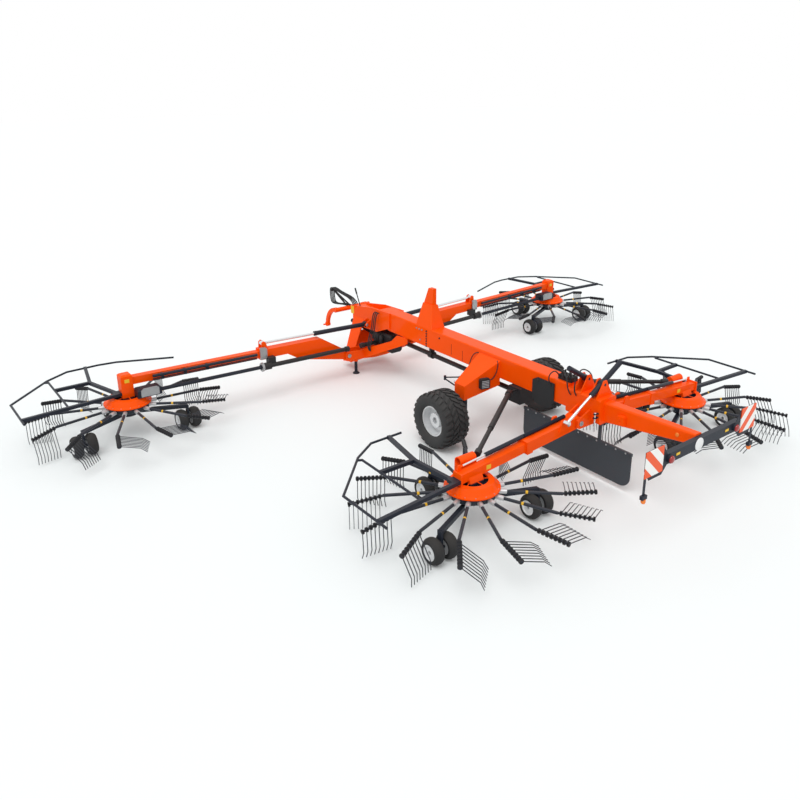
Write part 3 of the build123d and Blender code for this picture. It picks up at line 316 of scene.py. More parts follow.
def line_mask(tree, start, along, radius, low, high):
    """1 within a radius of a line, between two distances from its start."""
    place = add(tree, "ShaderNodeTexCoord").outputs["Object"]
    away = vector_math(tree, "SUBTRACT", place, start)
    run = vector_math(tree, "DOT_PRODUCT", away, along)
    offset = vector_math(tree, "LENGTH", vector_math(tree, "CROSS_PRODUCT", away, along))
    near = math_node(tree, "LESS_THAN", offset, radius)
    past = math_node(tree, "GREATER_THAN", run, low)
    short = math_node(tree, "LESS_THAN", run, high)
    return math_node(tree, "MULTIPLY", near, math_node(tree, "MULTIPLY", past, short))


def tray_shade_mask(tree, x, y):
    """1 inside the tray round a rotor's vertical axis, fading out between two heights: painted
    shade.
    """
    place = add(tree, "ShaderNodeTexCoord").outputs["Object"]
    away = vector_math(tree, "DISTANCE", vector_math(tree, "MULTIPLY", place, (1, 1, 0)), (x, y, 0))
    height = add(tree, "ShaderNodeSeparateXYZ")
    tree.links.new(place, height.inputs[0])
    below = math_node(tree, "SUBTRACT", TRAY_HIGH, height.outputs["Z"])
    fade = math_node(tree, "DIVIDE", below, TRAY_HIGH - TRAY_LOW)
    fade = math_node(tree, "MINIMUM", math_node(tree, "MAXIMUM", fade, 0.0), 1.0)
    return math_node(tree, "MULTIPLY", math_node(tree, "LESS_THAN", away, TRAY_R), fade)


def mirrored(point, sign):
    """A left point, or its mirror on the right."""
    x, y, z = point
    return Vector((x, sign * y, z))


REAR_X, REAR_Y, REAR_SLOPE = -3.042, 2.66, -0.08482
FRONT_X, FRONT_Y = 3.353, 5.71
TRAY_R, TRAY_LOW, TRAY_HIGH = 0.241, 0.762, 0.778
# Painted shade: the anthracite laid into the trays' hollows round the rotors' columns.
TRAY_SHADE = (*ANTHRACITE, 1)
WIDTH_START = (REAR_X + 0.055, 0.42, 1.223)
WIDTH_MARKS = (("rear_base", ANTHRACITE, 0.034, 0.19, 1.15, 0.0),
               ("rear_slide", CHROME, 0.0175, 1.0, 2.4, 1.0))
GUARD_TUBE = ((0.0195, 1.16), (0.0195, 1.95), (0.03, 1.95), (0.034, 1.94), (0.034, 1.16))
for side, sign in SIDES:
    start = mirrored(WIDTH_START, sign)
    along = Vector((0, sign, REAR_SLOPE)).normalized()
    for name, tint, radius, low, high, metal in WIDTH_MARKS:
        paint, group, shader = orange(f"{name}_paint_{side}")
        tree = paint.node_tree
        mask = line_mask(tree, start, along, radius, low, high)
        # The tray's hollow gets painted shade in the anthracite, darkest low down.
        shaded_tray = tray_shade_mask(tree, REAR_X, sign * REAR_Y)
        colour = mix_colour(tree, shaded_tray, group.outputs["Colour"], TRAY_SHADE)
        marked = mix_colour(tree, mask, colour, (*tint, 1))
        tree.links.new(marked, shader.inputs["Base Color"])
        tree.links.new(math_node(tree, "MULTIPLY", mask, metal), shader.inputs["Metallic"])
        dress(paint, f"{name}_{side}")
    paint, group, shader = orange(f"front_inner_paint_{side}")
    tree = paint.node_tree
    # Painted shade in the front tray's hollow, darkest low down.
    shaded_tray = tray_shade_mask(tree, FRONT_X, sign * FRONT_Y)
    colour = mix_colour(tree, shaded_tray, group.outputs["Colour"], TRAY_SHADE)
    tree.links.new(colour, shader.inputs["Base Color"])
    dress(paint, f"front_inner_{side}")
    bm = bmesh.new()
    turn(bm, GUARD_TUBE, facing_frame(start, along), 24, closed=True)
    fix(f"rod_guard_{side}", bm, dark_paint, f"rear_arm_{side}")


# Beam: a folded and welded box in the orange paint, the largest piece of the frame.
# Short welds close the access slots in its sides, and are only marks in the paint.
SEAM = (0.3, 0.022, 0.001, 1)
SEAM_R, SEAM_LENGTH = 0.007, 0.22
beam_paint, group, shader = orange("beam_paint")
tree = beam_paint.node_tree
colour = group.outputs["Colour"]
for x, z in ((0.44, 1.2), (0.1, 1.15)):
    for side, sign in SIDES:
        foot = (x, sign * BEAM_SIDE, z)
        mask = line_mask(tree, foot, (0, 0, 1), SEAM_R, 0.0, SEAM_LENGTH)
        colour = mix_colour(tree, mask, colour, SEAM)
tree.links.new(colour, shader.inputs["Base Color"])
dress(beam_paint, "main_beam")


# Boom bracket: a folded steel box welded to the left of the tail boom's root, with two bolts.
# It is painted with the frame.
BRACKET = ((-3.83, 1.19), (-3.68, 1.19), (-3.68, 1.33), (-3.72, 1.35), (-3.83, 1.35))
BRACKET_FACE, BRACKET_DEEP = 0.17, 0.078
BRACKET_BOLT = ((0, 0), (0.015, 0), (0.015, 0.012), (0.01, 0.016), (0, 0.016))
bm = bmesh.new()
sheet_metal(bm, BRACKET, BRACKET_DEEP, upright(0, BRACKET_FACE, 0, -1), edge=0.008)
for z in (1.23, 1.3):
    turn(bm, BRACKET_BOLT, facing_frame((-3.755, BRACKET_FACE - 0.001, z), (0, 1, 0)), HEXAGON)
fix("boom_bracket", bm, orange_paint, "chassis")


# Hinge pins end in zinc-plated caps with a grease nipple, outside their cheeks.
# The caps are turned steel and keep the pins from walking out.
PIN_ENDS = ((FRONT_X, 0.151, 0.84, 0.52, 0.046), (REAR_X, 0.146, 0.42, 1.09, 0.046),
            (FRONT_X, 0.081, 0.3, 1.13, 0.036))
bm = bmesh.new()
for x, half, y, z, radius in PIN_ENDS:
    cap = ((0, -0.001), (radius, -0.001), (radius, 0.01), (radius - 0.006, 0.015), (0.012, 0.015),
           (0.01, 0.028), (0, 0.03))
    for side, sign in SIDES:
        for way in (-1, 1):
            turn(bm, cap, facing_frame((x + way * half, sign * y, z), (way, 0, 0)), 20)
fix("pin_caps", bm, zinc, "chassis")


# Valve block: a machined steel block with hose unions, on the rear of the beam's deck.
# It is phosphated black and bolted down.
def rectangle(x0, y0, x1, y1):
    """Outline between two corners."""
    return ((x0, y0), (x1, y0), (x1, y1), (x0, y1))


BLOCK, BLOCK_HIGH = (-2.5, 0.02, 1.549), 0.09
UNION_STEP, UNION_OUT, UNION_SINK = 0.1, 0.045, 0.003
UNION = ((0, 0), (0.02, 0), (0.02, 0.018), (0.014, 0.02), (0.014, 0.04), (0.018, 0.042),
         (0.018, 0.06), (0, 0.06))
bm = bmesh.new()
sheet_metal(bm, rectangle(-0.15, -0.09, 0.15, 0.09), BLOCK_HIGH, Matrix.Translation(BLOCK),
            edge=0.008)
for k in (-1, 0, 1):
    for side, sign in SIDES:
        rise = Vector((k * UNION_STEP, sign * UNION_OUT, BLOCK_HIGH - UNION_SINK))
        turn(bm, UNION, facing_frame(Vector(BLOCK) + rise, (0, 0, 1)), 10)
fix("valve_block", bm, black_rubber, "chassis")


# Oil pump: a finned cast pump and a filter canister, flanged to the left of the front gearbox.
# Both are painted black and feed the rake's own circuit.
PUMP = ((0, 0), (0.085, 0), (0.085, 0.015), (0.065, 0.018), (0.065, 0.035), (0.072, 0.037),
        (0.072, 0.045), (0.065, 0.047), (0.065, 0.06), (0.072, 0.062), (0.072, 0.07),
        (0.06, 0.08), (0.03, 0.095), (0, 0.098))
FILTER = ((0, 0), (0.04, 0), (0.046, 0.01), (0.046, 0.13), (0.036, 0.15), (0.02, 0.152),
          (0.02, 0.175), (0, 0.18))
bm = bmesh.new()
turn(bm, PUMP, facing_frame((3.02, 0.159, 0.9), (0, 1, 0)), 28)
turn(bm, FILTER, facing_frame((2.86, 0.205, 0.8), (0, 0, 1)), 24)
fix("oil_pump", bm, black_rubber, "chassis")


# Drive shafts are steel under black moulded guards, and the gearboxes are cast iron in black.
# The shafts telescope with their arms, and the gearboxes are bolted to the frame.
black_plastic, *_ = finish("shaft_guard", (0.014, 0.014, 0.016), roughness=0.5, dust=0.06,
                           variation=0.3, bump=0.06)
dress(black_plastic, "drive_line", *both("front_shaft", "rear_sleeve", "rear_core"))


# Hitch dressing: a black stand holds the hoses, beside a lever and a bare yellow plate.
# The stand is steel tube welded to the swivelling headstock, and the plate is stuck on.
def rod(bm, start, end, radius):
    """Plain round bar between two points."""
    run = Vector(end) - Vector(start)
    turn(bm, ((0, 0), (radius, 0), (radius, run.length), (0, run.length)),
         facing_frame(start, run), 14)


STAND_TOP, STAND_LEAN, STAND_ROD = (4.79, 0.24, 1.63), 0.35, 0.02
STAND_BAR = ((0, -0.07), (0.03, -0.07), (0.03, 0.07), (0, 0.07))
bm = bmesh.new()
for foot in ((4.3, 0.06, 1.29), (4.42, 0.09, 1.27)):
    rod(bm, foot, STAND_TOP, STAND_ROD)
turn(bm, STAND_BAR, facing_frame(STAND_TOP, (STAND_LEAN, 1, 0)), 16)
fix("hose_stand", bm, black_rubber, "hitch")
LEVER_FOOT, LEVER_TOP = Vector((3.78, 0.13, 1.38)), Vector((4.0, 0.13, 1.82))
LEVER_R, GRIP_R = 0.012, 0.019
run = LEVER_TOP - LEVER_FOOT
reach = run.length
bm = bmesh.new()
turn(bm, ((0, 0), (LEVER_R, 0), (LEVER_R, reach * 0.7), (GRIP_R, reach * 0.72),
          (GRIP_R, reach - 0.01), (LEVER_R, reach), (0, reach)), facing_frame(LEVER_FOOT, run), 16)
fix("lever", bm, black_rubber, "chassis")
yellow_plate, *_ = finish("yellow_plate", (0.8, 0.5, 0.02), roughness=0.35, dust=0.05,
                          variation=0.1)
bm = bmesh.new()
sheet_metal(bm, rectangle(-0.075, -0.09, 0.075, 0.09), 0.004,
            facing_frame((4.01, 0.2, 1.3), (-0.1, 1, 0)), edge=0.001)
fix("yellow_panel", bm, yellow_plate, "chassis")


# Arm brackets: galvanised plates guide the hoses and the drive shaft where a front beam slides out.
# They are laser-cut, folded and bolted to the outer beam.
ARM_SLOPE = 0.0262
ARM_PLATE = ((-0.08, -0.1), (0.08, -0.1), (0.08, 0.12), (0.03, 0.16), (-0.08, 0.16))
ARM_PLATE_THICK = 0.03
ARM_BOLT = ((0, 0), (0.014, 0), (0.014, 0.01), (0.008, 0.014), (0, 0.014))
SHAFT_RING = ((0.06, 0), (0.096, 0), (0.096, 0.035), (0.085, 0.045), (0.06, 0.045))
for side, sign in SIDES:
    bm = bmesh.new()
    rear = facing_frame((FRONT_X - 0.113, sign * 2.92, 1.01), (-1, 0, 0))
    sheet_metal(bm, ARM_PLATE, ARM_PLATE_THICK, rear, edge=0.004)
    for y in (-0.05, 0.05):
        for z in (-0.07, 0.09):
            turn(bm, ARM_BOLT, rear @ Matrix.Translation((y, z, ARM_PLATE_THICK)), HEXAGON)
    shaft = facing_frame((FRONT_X - 0.215, sign * 2.992, 0.7803), (0, sign, ARM_SLOPE))
    turn(bm, SHAFT_RING, shaft, 28, closed=True)
    fix(f"arm_bracket_{side}", bm, zinc, f"front_arm_{side}")


# Arm pipes: two steel oil pipes and a sleeve for the lines lie along each sliding beam's rear side.
# They are bent tube in the frames' dark paint, held off the beam by clips.
PIPES = ((0.196, 0.018, 0.03), (0.168, 0.085, 0.011), (0.168, 0.112, 0.011))
PIPE_Y, PIPE_Z, PIPE_LENGTH = 3.1, 1.0812, 2.15
CLIP_OUT, CLIP_Z, CLIP_DEEP = 0.078, 1.0035, 0.096
for side, sign in SIDES:
    bm = bmesh.new()
    run = Vector((0, sign, ARM_SLOPE)).normalized() * PIPE_LENGTH
    for out, drop, radius in PIPES:
        start = Vector((FRONT_X - out, sign * PIPE_Y, PIPE_Z - drop))
        rod(bm, start, start + run, radius)
    for y in (4.15, 4.6, 5.05):
        seat = (FRONT_X - CLIP_OUT, sign * y, CLIP_Z + ARM_SLOPE * (y - 3.0))
        sheet_metal(bm, rectangle(-0.018, -0.05, 0.018, 0.06), CLIP_DEEP,
                    facing_frame(seat, (-1, 0, 0)))
    fix(f"arm_pipes_{side}", bm, dark_paint, f"front_unit_{side}")


# Gearbox covers: galvanised plates close the front rotors' gearboxes on their rear side.
# Yellow plates, left bare, are stuck to the rotor heads and the rear arms.
COVER = ((-0.17, -0.07), (0.17, -0.07), (0.17, 0.06), (0.12, 0.1), (-0.12, 0.1), (-0.17, 0.06))
COVER_THICK = 0.012
COVER_BOLT = ((0, 0), (0.013, 0), (0.013, 0.01), (0.008, 0.013), (0, 0.013))
LABELS = (("front_label", "front_unit", FRONT_X - 0.11, FRONT_Y, 1.1),
          ("rear_label", "rear_unit", REAR_X - 0.0735, 2.4, 0.922))
for side, sign in SIDES:
    bm = bmesh.new()
    rear = facing_frame((FRONT_X - 0.325, sign * (FRONT_Y - 0.34), 0.87), (-1, 0, 0))
    sheet_metal(bm, COVER, COVER_THICK, rear)
    for y in (-0.13, 0, 0.13):
        for z in (-0.045, 0.06):
            turn(bm, COVER_BOLT, rear @ Matrix.Translation((y, z, COVER_THICK)), HEXAGON)
    fix(f"gearbox_cover_{side}", bm, zinc, f"front_unit_{side}")
    for name, body, x, y, z in LABELS:
        bm = bmesh.new()
        sheet_metal(bm, rectangle(-0.045, -0.035, 0.045, 0.035), 0.002,
                    facing_frame((x, sign * y, z), (-1, 0, 0)), edge=0.0006)
        fix(f"{name}_{side}", bm, yellow_plate, f"{body}_{side}")


# Housing bolts: the flange of each cam housing is bolted down all round.
# They are zinc-plated hexagon bolts, turned with their washers.
FLANGE_R, FLANGE_TOP, FLANGE_BOLTS = 0.408, 0.669, 16
FLANGE_BOLT = ((0, 0), (0.014, 0), (0.014, 0.003), (0.011, 0.003), (0.011, 0.012), (0, 0.013))
for end, x, y in (("front", FRONT_X, FRONT_Y), ("rear", REAR_X, REAR_Y)):
    for side, sign in SIDES:
        bm = bmesh.new()
        for k in range(FLANGE_BOLTS):
            around = 2 * pi * (k + 0.5) / FLANGE_BOLTS
            seat = (x + FLANGE_R * cos(around), sign * y + FLANGE_R * sin(around), FLANGE_TOP)
            turn(bm, FLANGE_BOLT, Matrix.Translation(seat), HEXAGON)
        fix(f"{end}_housing_bolts_{side}", bm, zinc, f"{end}_unit_{side}")


# Steering gear: a dark barrel with a chromed rod and two links lie before each axle leg.
# Welded lugs hold them, and a chromed lock rod hangs in two lugs at each side of the tail head.
STEER_ROOT, STEER_MOUTH = (-0.375, 0.36, 1.17), (-0.43, 0.7, 1.085)
STEER_TIP = (-0.447, 0.81, 1.0575)
STEER_LUGS = ((-0.435, 0.4, 1.17), (-0.482, 0.68, 1.0975))
STEER_LUG = ((0, -0.035), (0.075, -0.03), (0.075, 0.03), (0, 0.035))
STEER_LINKS = (((-0.46, 0.62, 1.105), (-0.13, 0.8, 1.04), 0.013),
               ((-0.13, 0.8, 1.075), (-0.13, 0.8, 0.99), 0.024),
               ((-0.13, 0.8, 1.01), (-0.5, 0.84, 0.99), 0.015))
BARREL_R, COLLAR_R, STEER_ROD, STEER_EYE = 0.026, 0.03, 0.014, 0.024
LOCK_X = -3.33
LOCK_LUG = ((-0.03, 0.197), (0.03, 0.197), (0.03, 0.28), (0.015, 0.3), (-0.015, 0.3), (-0.03, 0.28))
LOCK_ROD = ((0, 0), (0.012, 0), (0.015, 0.006), (0.015, 0.33), (0.026, 0.332), (0.026, 0.35),
            (0, 0.352))
steer_barrels, bright_rods = bmesh.new(), bmesh.new()
for side, sign in SIDES:
    root, mouth, tip = (mirrored(at, sign) for at in (STEER_ROOT, STEER_MOUTH, STEER_TIP))
    run = mouth - root
    reach = run.length
    turn(steer_barrels,
         ((0, 0), (COLLAR_R, 0), (COLLAR_R, 0.02), (BARREL_R, 0.025), (BARREL_R, reach - 0.02),
          (COLLAR_R, reach - 0.015), (COLLAR_R, reach), (0, reach)), facing_frame(root, run), 20)
    for x, y, z in STEER_LUGS:
        sheet_metal(steer_barrels, STEER_LUG, 0.014, upright(x, sign * y, z, sign))
    run = tip - mouth
    reach = run.length
    turn(bright_rods,
         ((0, 0), (STEER_ROD, 0), (STEER_ROD, reach), (STEER_EYE, reach + 0.004),
          (STEER_EYE, reach + 0.03), (0, reach + 0.034)), facing_frame(mouth, run), 18)
    for start, end, radius in STEER_LINKS:
        rod(steer_barrels, mirrored(start, sign), mirrored(end, sign), radius)
    for z in (1.19, 1.26):
        sheet_metal(steer_barrels, LOCK_LUG, 0.012,
                    Matrix.Translation((LOCK_X, 0, z)) @ Matrix.Diagonal((1, sign, 1, 1)))
    turn(bright_rods, LOCK_ROD, facing_frame((LOCK_X, sign * 0.265, 0.95), (0, 0, 1)), 18)
fix("steer_barrels", steer_barrels, dark_paint, "chassis")
fix("bright_rods", bright_rods, chrome, "chassis")


# Axle lamps: black plastic boxes behind bright louvres, bolted to the rear of each axle leg.
# Box and louvres are moulded, and a cable comes to the left one.
bright_plastic, *_ = finish("clear_lens", (0.5, 0.52, 0.54), roughness=0.15, coat=0.5, dust=0.05)
LAMP_BOX = ((-0.1, -0.1), (0.1, -0.1), (0.1, 0.08), (0.08, 0.1), (-0.1, 0.1))
LAMP_DEEP, LOUVRE_HALF, LOUVRE_STEP, LOUVRE_DEEP = 0.1, 0.006, 0.03, 0.012
for side, sign in SIDES:
    bm = bmesh.new()
    back = facing_frame((-0.885, sign * 0.5, 1.1), (-1, 0.27 * sign, 0))
    sheet_metal(bm, LAMP_BOX, LAMP_DEEP, back, edge=0.014)
    fix(f"axle_lamp_{side}", bm, black_rubber, "chassis")
    bm = bmesh.new()
    for k in range(-2, 3):
        z = k * LOUVRE_STEP
        sheet_metal(bm, rectangle(-0.078, z - LOUVRE_HALF, 0.07, z + LOUVRE_HALF), LOUVRE_DEEP,
                    back @ Matrix.Translation((0, 0, LAMP_DEEP - 0.002)))
    fix(f"axle_lens_{side}", bm, bright_plastic, "chassis")


# Main tyres: wide flotation tyres with slanting blocks in four rows, moulded in natural rubber.
# The carcass is one turned form and the blocks stand on it.
AXLE, TRACK, WHEEL_R = -0.682, 1.34, 0.535
CARCASS = ((0.285, 0.21), (0.33, 0.262), (0.41, 0.275), (0.466, 0.266), (0.49, 0.24),
           (0.503, 0.185), (0.508, 0.09), (0.509, 0))
TREAD = ((0.0, 0.509), (0.09, 0.508), (0.185, 0.503), (0.24, 0.49), (0.27, 0.462))
PITCHES, BLOCK_LIFT, BLOCK_FOOT = 26, 0.026, -0.004
INNER_ROW, OUTER_ROW = (0.0, 0.13, 0.2, 0.012, 0.125), (0.29, 0.125, 0.1, 0.142, 0.262)


def tread_radius(offset):
    """Radius of the carcass at an offset from the tyre's middle."""
    offset = abs(offset)
    for (w0, r0), (w1, r1) in zip(TREAD, TREAD[1:]):
        if offset <= w1:
            return r0 + (r1 - r0) * (offset - w0) / (w1 - w0)
    return TREAD[-1][1]


def tread_block(bm, centre, angle, span, slant, near, far, rows=3, columns=4):
    """Raised block on the tyre between two offsets, slanting by an angle across its width."""
    def point(u, v, lift):
        offset = near + (far - near) * v
        turned_by = angle + span * (u - 0.5) + slant * v
        radius = tread_radius(offset) + lift
        at = Vector((radius * cos(turned_by), offset, radius * sin(turned_by)))
        return bm.verts.new(centre + at)
    top = [[point(u / rows * 0.9 + 0.05, v / columns * 0.94 + 0.03, BLOCK_LIFT)
            for v in range(columns + 1)] for u in range(rows + 1)]
    foot = [[point(u / rows, v / columns, BLOCK_FOOT)
             for v in range(columns + 1)] for u in range(rows + 1)]
    for u in range(rows):
        for v in range(columns):
            bm.faces.new((top[u][v], top[u + 1][v], top[u + 1][v + 1], top[u][v + 1]))
    around = ([(u, 0) for u in range(rows)] + [(rows, v) for v in range(columns)]
              + [(u, columns) for u in range(rows, 0, -1)]
              + [(0, v) for v in range(columns, 0, -1)])
    for (u0, v0), (u1, v1) in zip(around, around[1:] + around[:1]):
        bm.faces.new((top[u0][v0], top[u1][v1], foot[u1][v1], foot[u0][v0]))


tyre_rubber, *_ = finish("tyre_rubber", (0.034, 0.034, 0.035), roughness=0.75, dust=0.06,
                         variation=0.5, bump=0.3)
for side, sign in SIDES:
    bm = bmesh.new()
    centre = Vector((AXLE, sign * TRACK, WHEEL_R))
    profile = ([(radius, -offset) for radius, offset in CARCASS]
               + [(radius, offset) for radius, offset in CARCASS[-2::-1]])
    turn(bm, profile, facing_frame(centre, (0, 1, 0)), 96, closed=True)
    for k in range(PITCHES):
        for half, shift in ((1, 0), (-1, 0.5)):
            at = 2 * pi * (k + shift) / PITCHES
            for lead, span, slant, near, far in (INNER_ROW, OUTER_ROW):
                tread_block(bm, centre, at + lead, span, slant, half * near, half * far)
    tyre = fix(f"tyre_{side}", bm, tyre_rubber, f"main_wheel_{side}", sharp=50)
    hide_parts(f"main_tyre_{side}")


# Main rims: pressed steel discs in silver lacquer, held by eight nuts round a capped hub.
# Nuts and hub cap are zinc-plated, turned parts.
rim_silver, *_ = finish("rim_silver", (0.72, 0.73, 0.74), roughness=0.35, metallic=0.3, dust=0.04,
                        variation=0.12)
dress(rim_silver, *both("main_rim"))
NUTS, NUT_R, NUT_FACE, CAP_FACE = 8, 0.115, 0.039, 0.035
NUT = ((0, 0), (0.016, 0), (0.016, 0.02), (0.009, 0.024), (0.009, 0.038), (0, 0.04))
HUB_CAP = ((0, 0), (0.075, 0), (0.075, 0.05), (0.062, 0.072), (0.03, 0.08), (0, 0.08))
for side, sign in SIDES:
    bm = bmesh.new()
    centre = Vector((AXLE, sign * TRACK, WHEEL_R))
    for k in range(NUTS):
        around = 2 * pi * k / NUTS
        seat = centre + Vector((NUT_R * cos(around), sign * NUT_FACE, NUT_R * sin(around)))
        turn(bm, NUT, facing_frame(seat, (0, sign, 0)), HEXAGON)
    seat = centre + Vector((0, sign * CAP_FACE, 0))
    turn(bm, HUB_CAP, facing_frame(seat, (0, sign, 0)), 28)
    fix(f"hub_nuts_{side}", bm, zinc, f"main_wheel_{side}")


# Rotors: painted arms on a turning drum, each with a bright sleeve at its root and a yellow band.
# The marks follow each rotor's radius, so they turn with it.
def radius_mask(tree, centre, keep, low, high):
    """1 where the distance from an axis through the centre lies between low and high."""
    place = add(tree, "ShaderNodeTexCoord").outputs["Object"]
    flat = vector_math(tree, "MULTIPLY", vector_math(tree, "SUBTRACT", place, centre), keep)
    radius = vector_math(tree, "LENGTH", flat)
    return math_node(tree, "MULTIPLY", math_node(tree, "GREATER_THAN", radius, low),
                     math_node(tree, "LESS_THAN", radius, high))


joint_at = {joint["name"]: joint.get("pos_m") for joint in frame["joints"]}
SLEEVE_FROM, SLEEVE_TO, SLEEVE_METAL = 0.395, 0.524, 0.6
BAND_FROM, BAND_TO = 0.80, 0.836
YELLOW, SLEEVE_GREY = (0.75, 0.42, 0.02, 1), (0.6, 0.6, 0.61, 1)
for end in ("front", "rear"):
    for side, sign in SIDES:
        centre = joint_at[f"{end}_rotor_turn_{side}"]
        paint, group, shader = finish(f"{end}_rotor_{side}", ANTHRACITE, roughness=0.42, dust=0.06,
                                      variation=0.3)
        tree = paint.node_tree
        sleeves = radius_mask(tree, centre, (1, 1, 0), SLEEVE_FROM, SLEEVE_TO)
        bands = radius_mask(tree, centre, (1, 1, 0), BAND_FROM, BAND_TO)
        colour = mix_colour(tree, sleeves, group.outputs["Colour"], SLEEVE_GREY)
        tree.links.new(mix_colour(tree, bands, colour, YELLOW), shader.inputs["Base Color"])
        metal = math_node(tree, "MULTIPLY", sleeves, SLEEVE_METAL)
        tree.links.new(metal, shader.inputs["Metallic"])
        dress(paint, f"{end}_rotor_{side}")


# Tine coils: each tine of spring steel is wound in coils round its bar and clamped there.
# The coils follow the cam, which turns the arms' tines up on the trailing side.
spring_steel, *_ = finish("spring_steel", (0.03, 0.03, 0.034), roughness=0.45, metallic=0.5,
                          dust=0.06, variation=0.3)
CAM = ((-180, 85), (-115, 85), (-75, 0), (85, 4), (160, 85), (180, 85))
ARM_Z, KINK_R, KINK = 0.59, 1.33, radians(12)
TINE_FIRST, TINE_END, TINE_COUNT = 1.395, 0.015, 8
ROTORS = (("front", 13, {"left": 154.5, "right": 52.3}, 1.79),
          ("rear", 15, {"left": 107.2, "right": 68.1}, 1.866))
COIL = ((0.02, -0.018), (0.036, -0.016), (0.04, -0.011), (0.033, -0.006), (0.04, 0),
        (0.033, 0.006), (0.04, 0.011), (0.036, 0.016), (0.02, 0.018))


def cam_lift(bearing):
    """Turn of the tines at a bearing, between the cam's points."""
    bearing = (bearing + 180) % 360 - 180
    for (b0, lift0), (b1, lift1) in zip(CAM, CAM[1:]):
        if b0 <= bearing <= b1:
            return lift0 + (lift1 - lift0) * (bearing - b0) / (b1 - b0)


for end, count, first, tip in ROTORS:
    spacing = (tip - TINE_END - TINE_FIRST) / (TINE_COUNT - 1)
    for side, sign in SIDES:
        bm = bmesh.new()
        x, y, _ = joint_at[f"{end}_rotor_turn_{side}"]
        rotor = Matrix.Translation((x, y, ARM_Z)) @ Matrix.Diagonal((1, sign, 1, 1))
        for k in range(count):
            bearing = first[side] + k * 360 / count
            arm = (rotor @ Matrix.Rotation(radians(bearing), 4, "Z")
                   @ Matrix.Rotation(radians(cam_lift(bearing)), 4, "X"))
            for n in range(TINE_COUNT):
                at = TINE_FIRST + spacing * n
                spot = (at, 0, -(at - KINK_R) * tan(KINK))
                turn(bm, COIL, arm @ facing_frame(spot, (1, 0, -tan(KINK))), 10)
        fix(f"{end}_coils_{side}", bm, spring_steel, f"{end}_reel_{side}", sharp=60)


# Running wheels: rubber tyres on small pressed rims, each bolted to its hub by five nuts.
# The rims are silver dishes seated in the tyres' outer faces.
RUBBER = (0.02, 0.02, 0.021)
HUB_R, HUB_GREY, HUB_FACE = 0.118, (*ZINC_GREY, 1), 0.1755
DISH = ((0.032, -0.001), (0.1, -0.001), (0.119, 0.0235), (0.119, 0.0285), (0.113, 0.0285),
        (0.094, 0.008), (0.07, 0.006), (0.052, 0.016), (0.032, 0.016))
DISH_NUTS, DISH_NUT_R, DISH_NUT_Z = 5, 0.083, 0.006
DISH_NUT = ((0, 0), (0.009, 0), (0.009, 0.009), (0.005, 0.011), (0, 0.011))
for end in ("front", "rear"):
    for spot in ("outer", "inner", "lead"):
        for side, sign in SIDES:
            centre = joint_at[f"{end}_{spot}_spin_{side}"]
            rubber, group, shader = finish(f"{end}_{spot}_rubber_{side}", RUBBER, roughness=0.75,
                                           dust=0.08, variation=0.4, bump=0.2)
            tree = rubber.node_tree
            hub = radius_mask(tree, centre, (1, 0, 1), -1.0, HUB_R)
            colour = mix_colour(tree, hub, group.outputs["Colour"], HUB_GREY)
            tree.links.new(colour, shader.inputs["Base Color"])
            dress(rubber, f"{end}_wheels_{spot}_{side}")
            bm = bmesh.new()
            for way in (-1, 1):
                seat = facing_frame(Vector(centre) + Vector((0, way * HUB_FACE, 0)), (0, way, 0))
                turn(bm, DISH, seat, 28, closed=True)
                for k in range(DISH_NUTS):
                    around = 2 * pi * k / DISH_NUTS
                    at = (DISH_NUT_R * cos(around), DISH_NUT_R * sin(around), DISH_NUT_Z)
                    turn(bm, DISH_NUT, seat @ Matrix.Translation(at), HEXAGON)
            fix(f"{end}_{spot}_rims_{side}", bm, rim_silver, f"{end}_wheels_{spot}_{side}")


# Warning boards: sheet aluminium with red and white diagonal reflective bands, on the light bar.
# The bands are printed film and slant down towards the outside.
BOARD_RED, BOARD_WHITE = (0.85, 0.09, 0.01, 1), (0.86, 0.86, 0.84, 1)
BAND, BAND_AT = 0.32, 0.025
board, group, shader = finish("warning_board", (0.8, 0.8, 0.8), roughness=0.3, dust=0.05)
tree = board.node_tree
spot = add(tree, "ShaderNodeSeparateXYZ")
tree.links.new(add(tree, "ShaderNodeTexCoord").outputs["Object"], spot.inputs[0])
across = math_node(tree, "ABSOLUTE", spot.outputs["Y"])
fall = math_node(tree, "SUBTRACT", spot.outputs["Z"], across)
slant = math_node(tree, "DIVIDE", math_node(tree, "SUBTRACT", fall, BAND_AT), BAND)
stripe = math_node(tree, "GREATER_THAN", math_node(tree, "FRACT", slant), 0.5)
tree.links.new(mix_colour(tree, stripe, BOARD_WHITE, BOARD_RED), shader.inputs["Base Color"])
dress(board, "warning_boards")


# Lamps: red tail lamps and amber markers are domes of coloured acrylic on the light bar and boom.
# A bare white disc and yellow reflectors are riveted to the bar.
lens_red, *_ = finish("red_lens", (0.32, 0.006, 0.005), roughness=0.15, coat=0.6, dust=0.03)
lens_amber, *_ = finish("amber_lens", (0.85, 0.2, 0.01), roughness=0.15, coat=0.6, dust=0.03)
white_disc, *_ = finish("white_disc", (0.8, 0.8, 0.8), roughness=0.35, dust=0.05, variation=0.06)
TAIL_FACE, LAMP_Z, BOOM_SIDE = -5.132, 1.39, 0.0858
DOME = ((0, 0), (0.058, 0), (0.058, 0.008), (0.05, 0.02), (0.03, 0.027), (0, 0.03))
MARKER = ((0, 0), (0.034, 0), (0.036, 0.02), (0.036, 0.05), (0.028, 0.066), (0, 0.072))
DISC = ((0, 0), (0.1, 0), (0.1, 0.006), (0.096, 0.008), (0, 0.008))
red, amber, yellow, white = (bmesh.new() for _ in range(4))
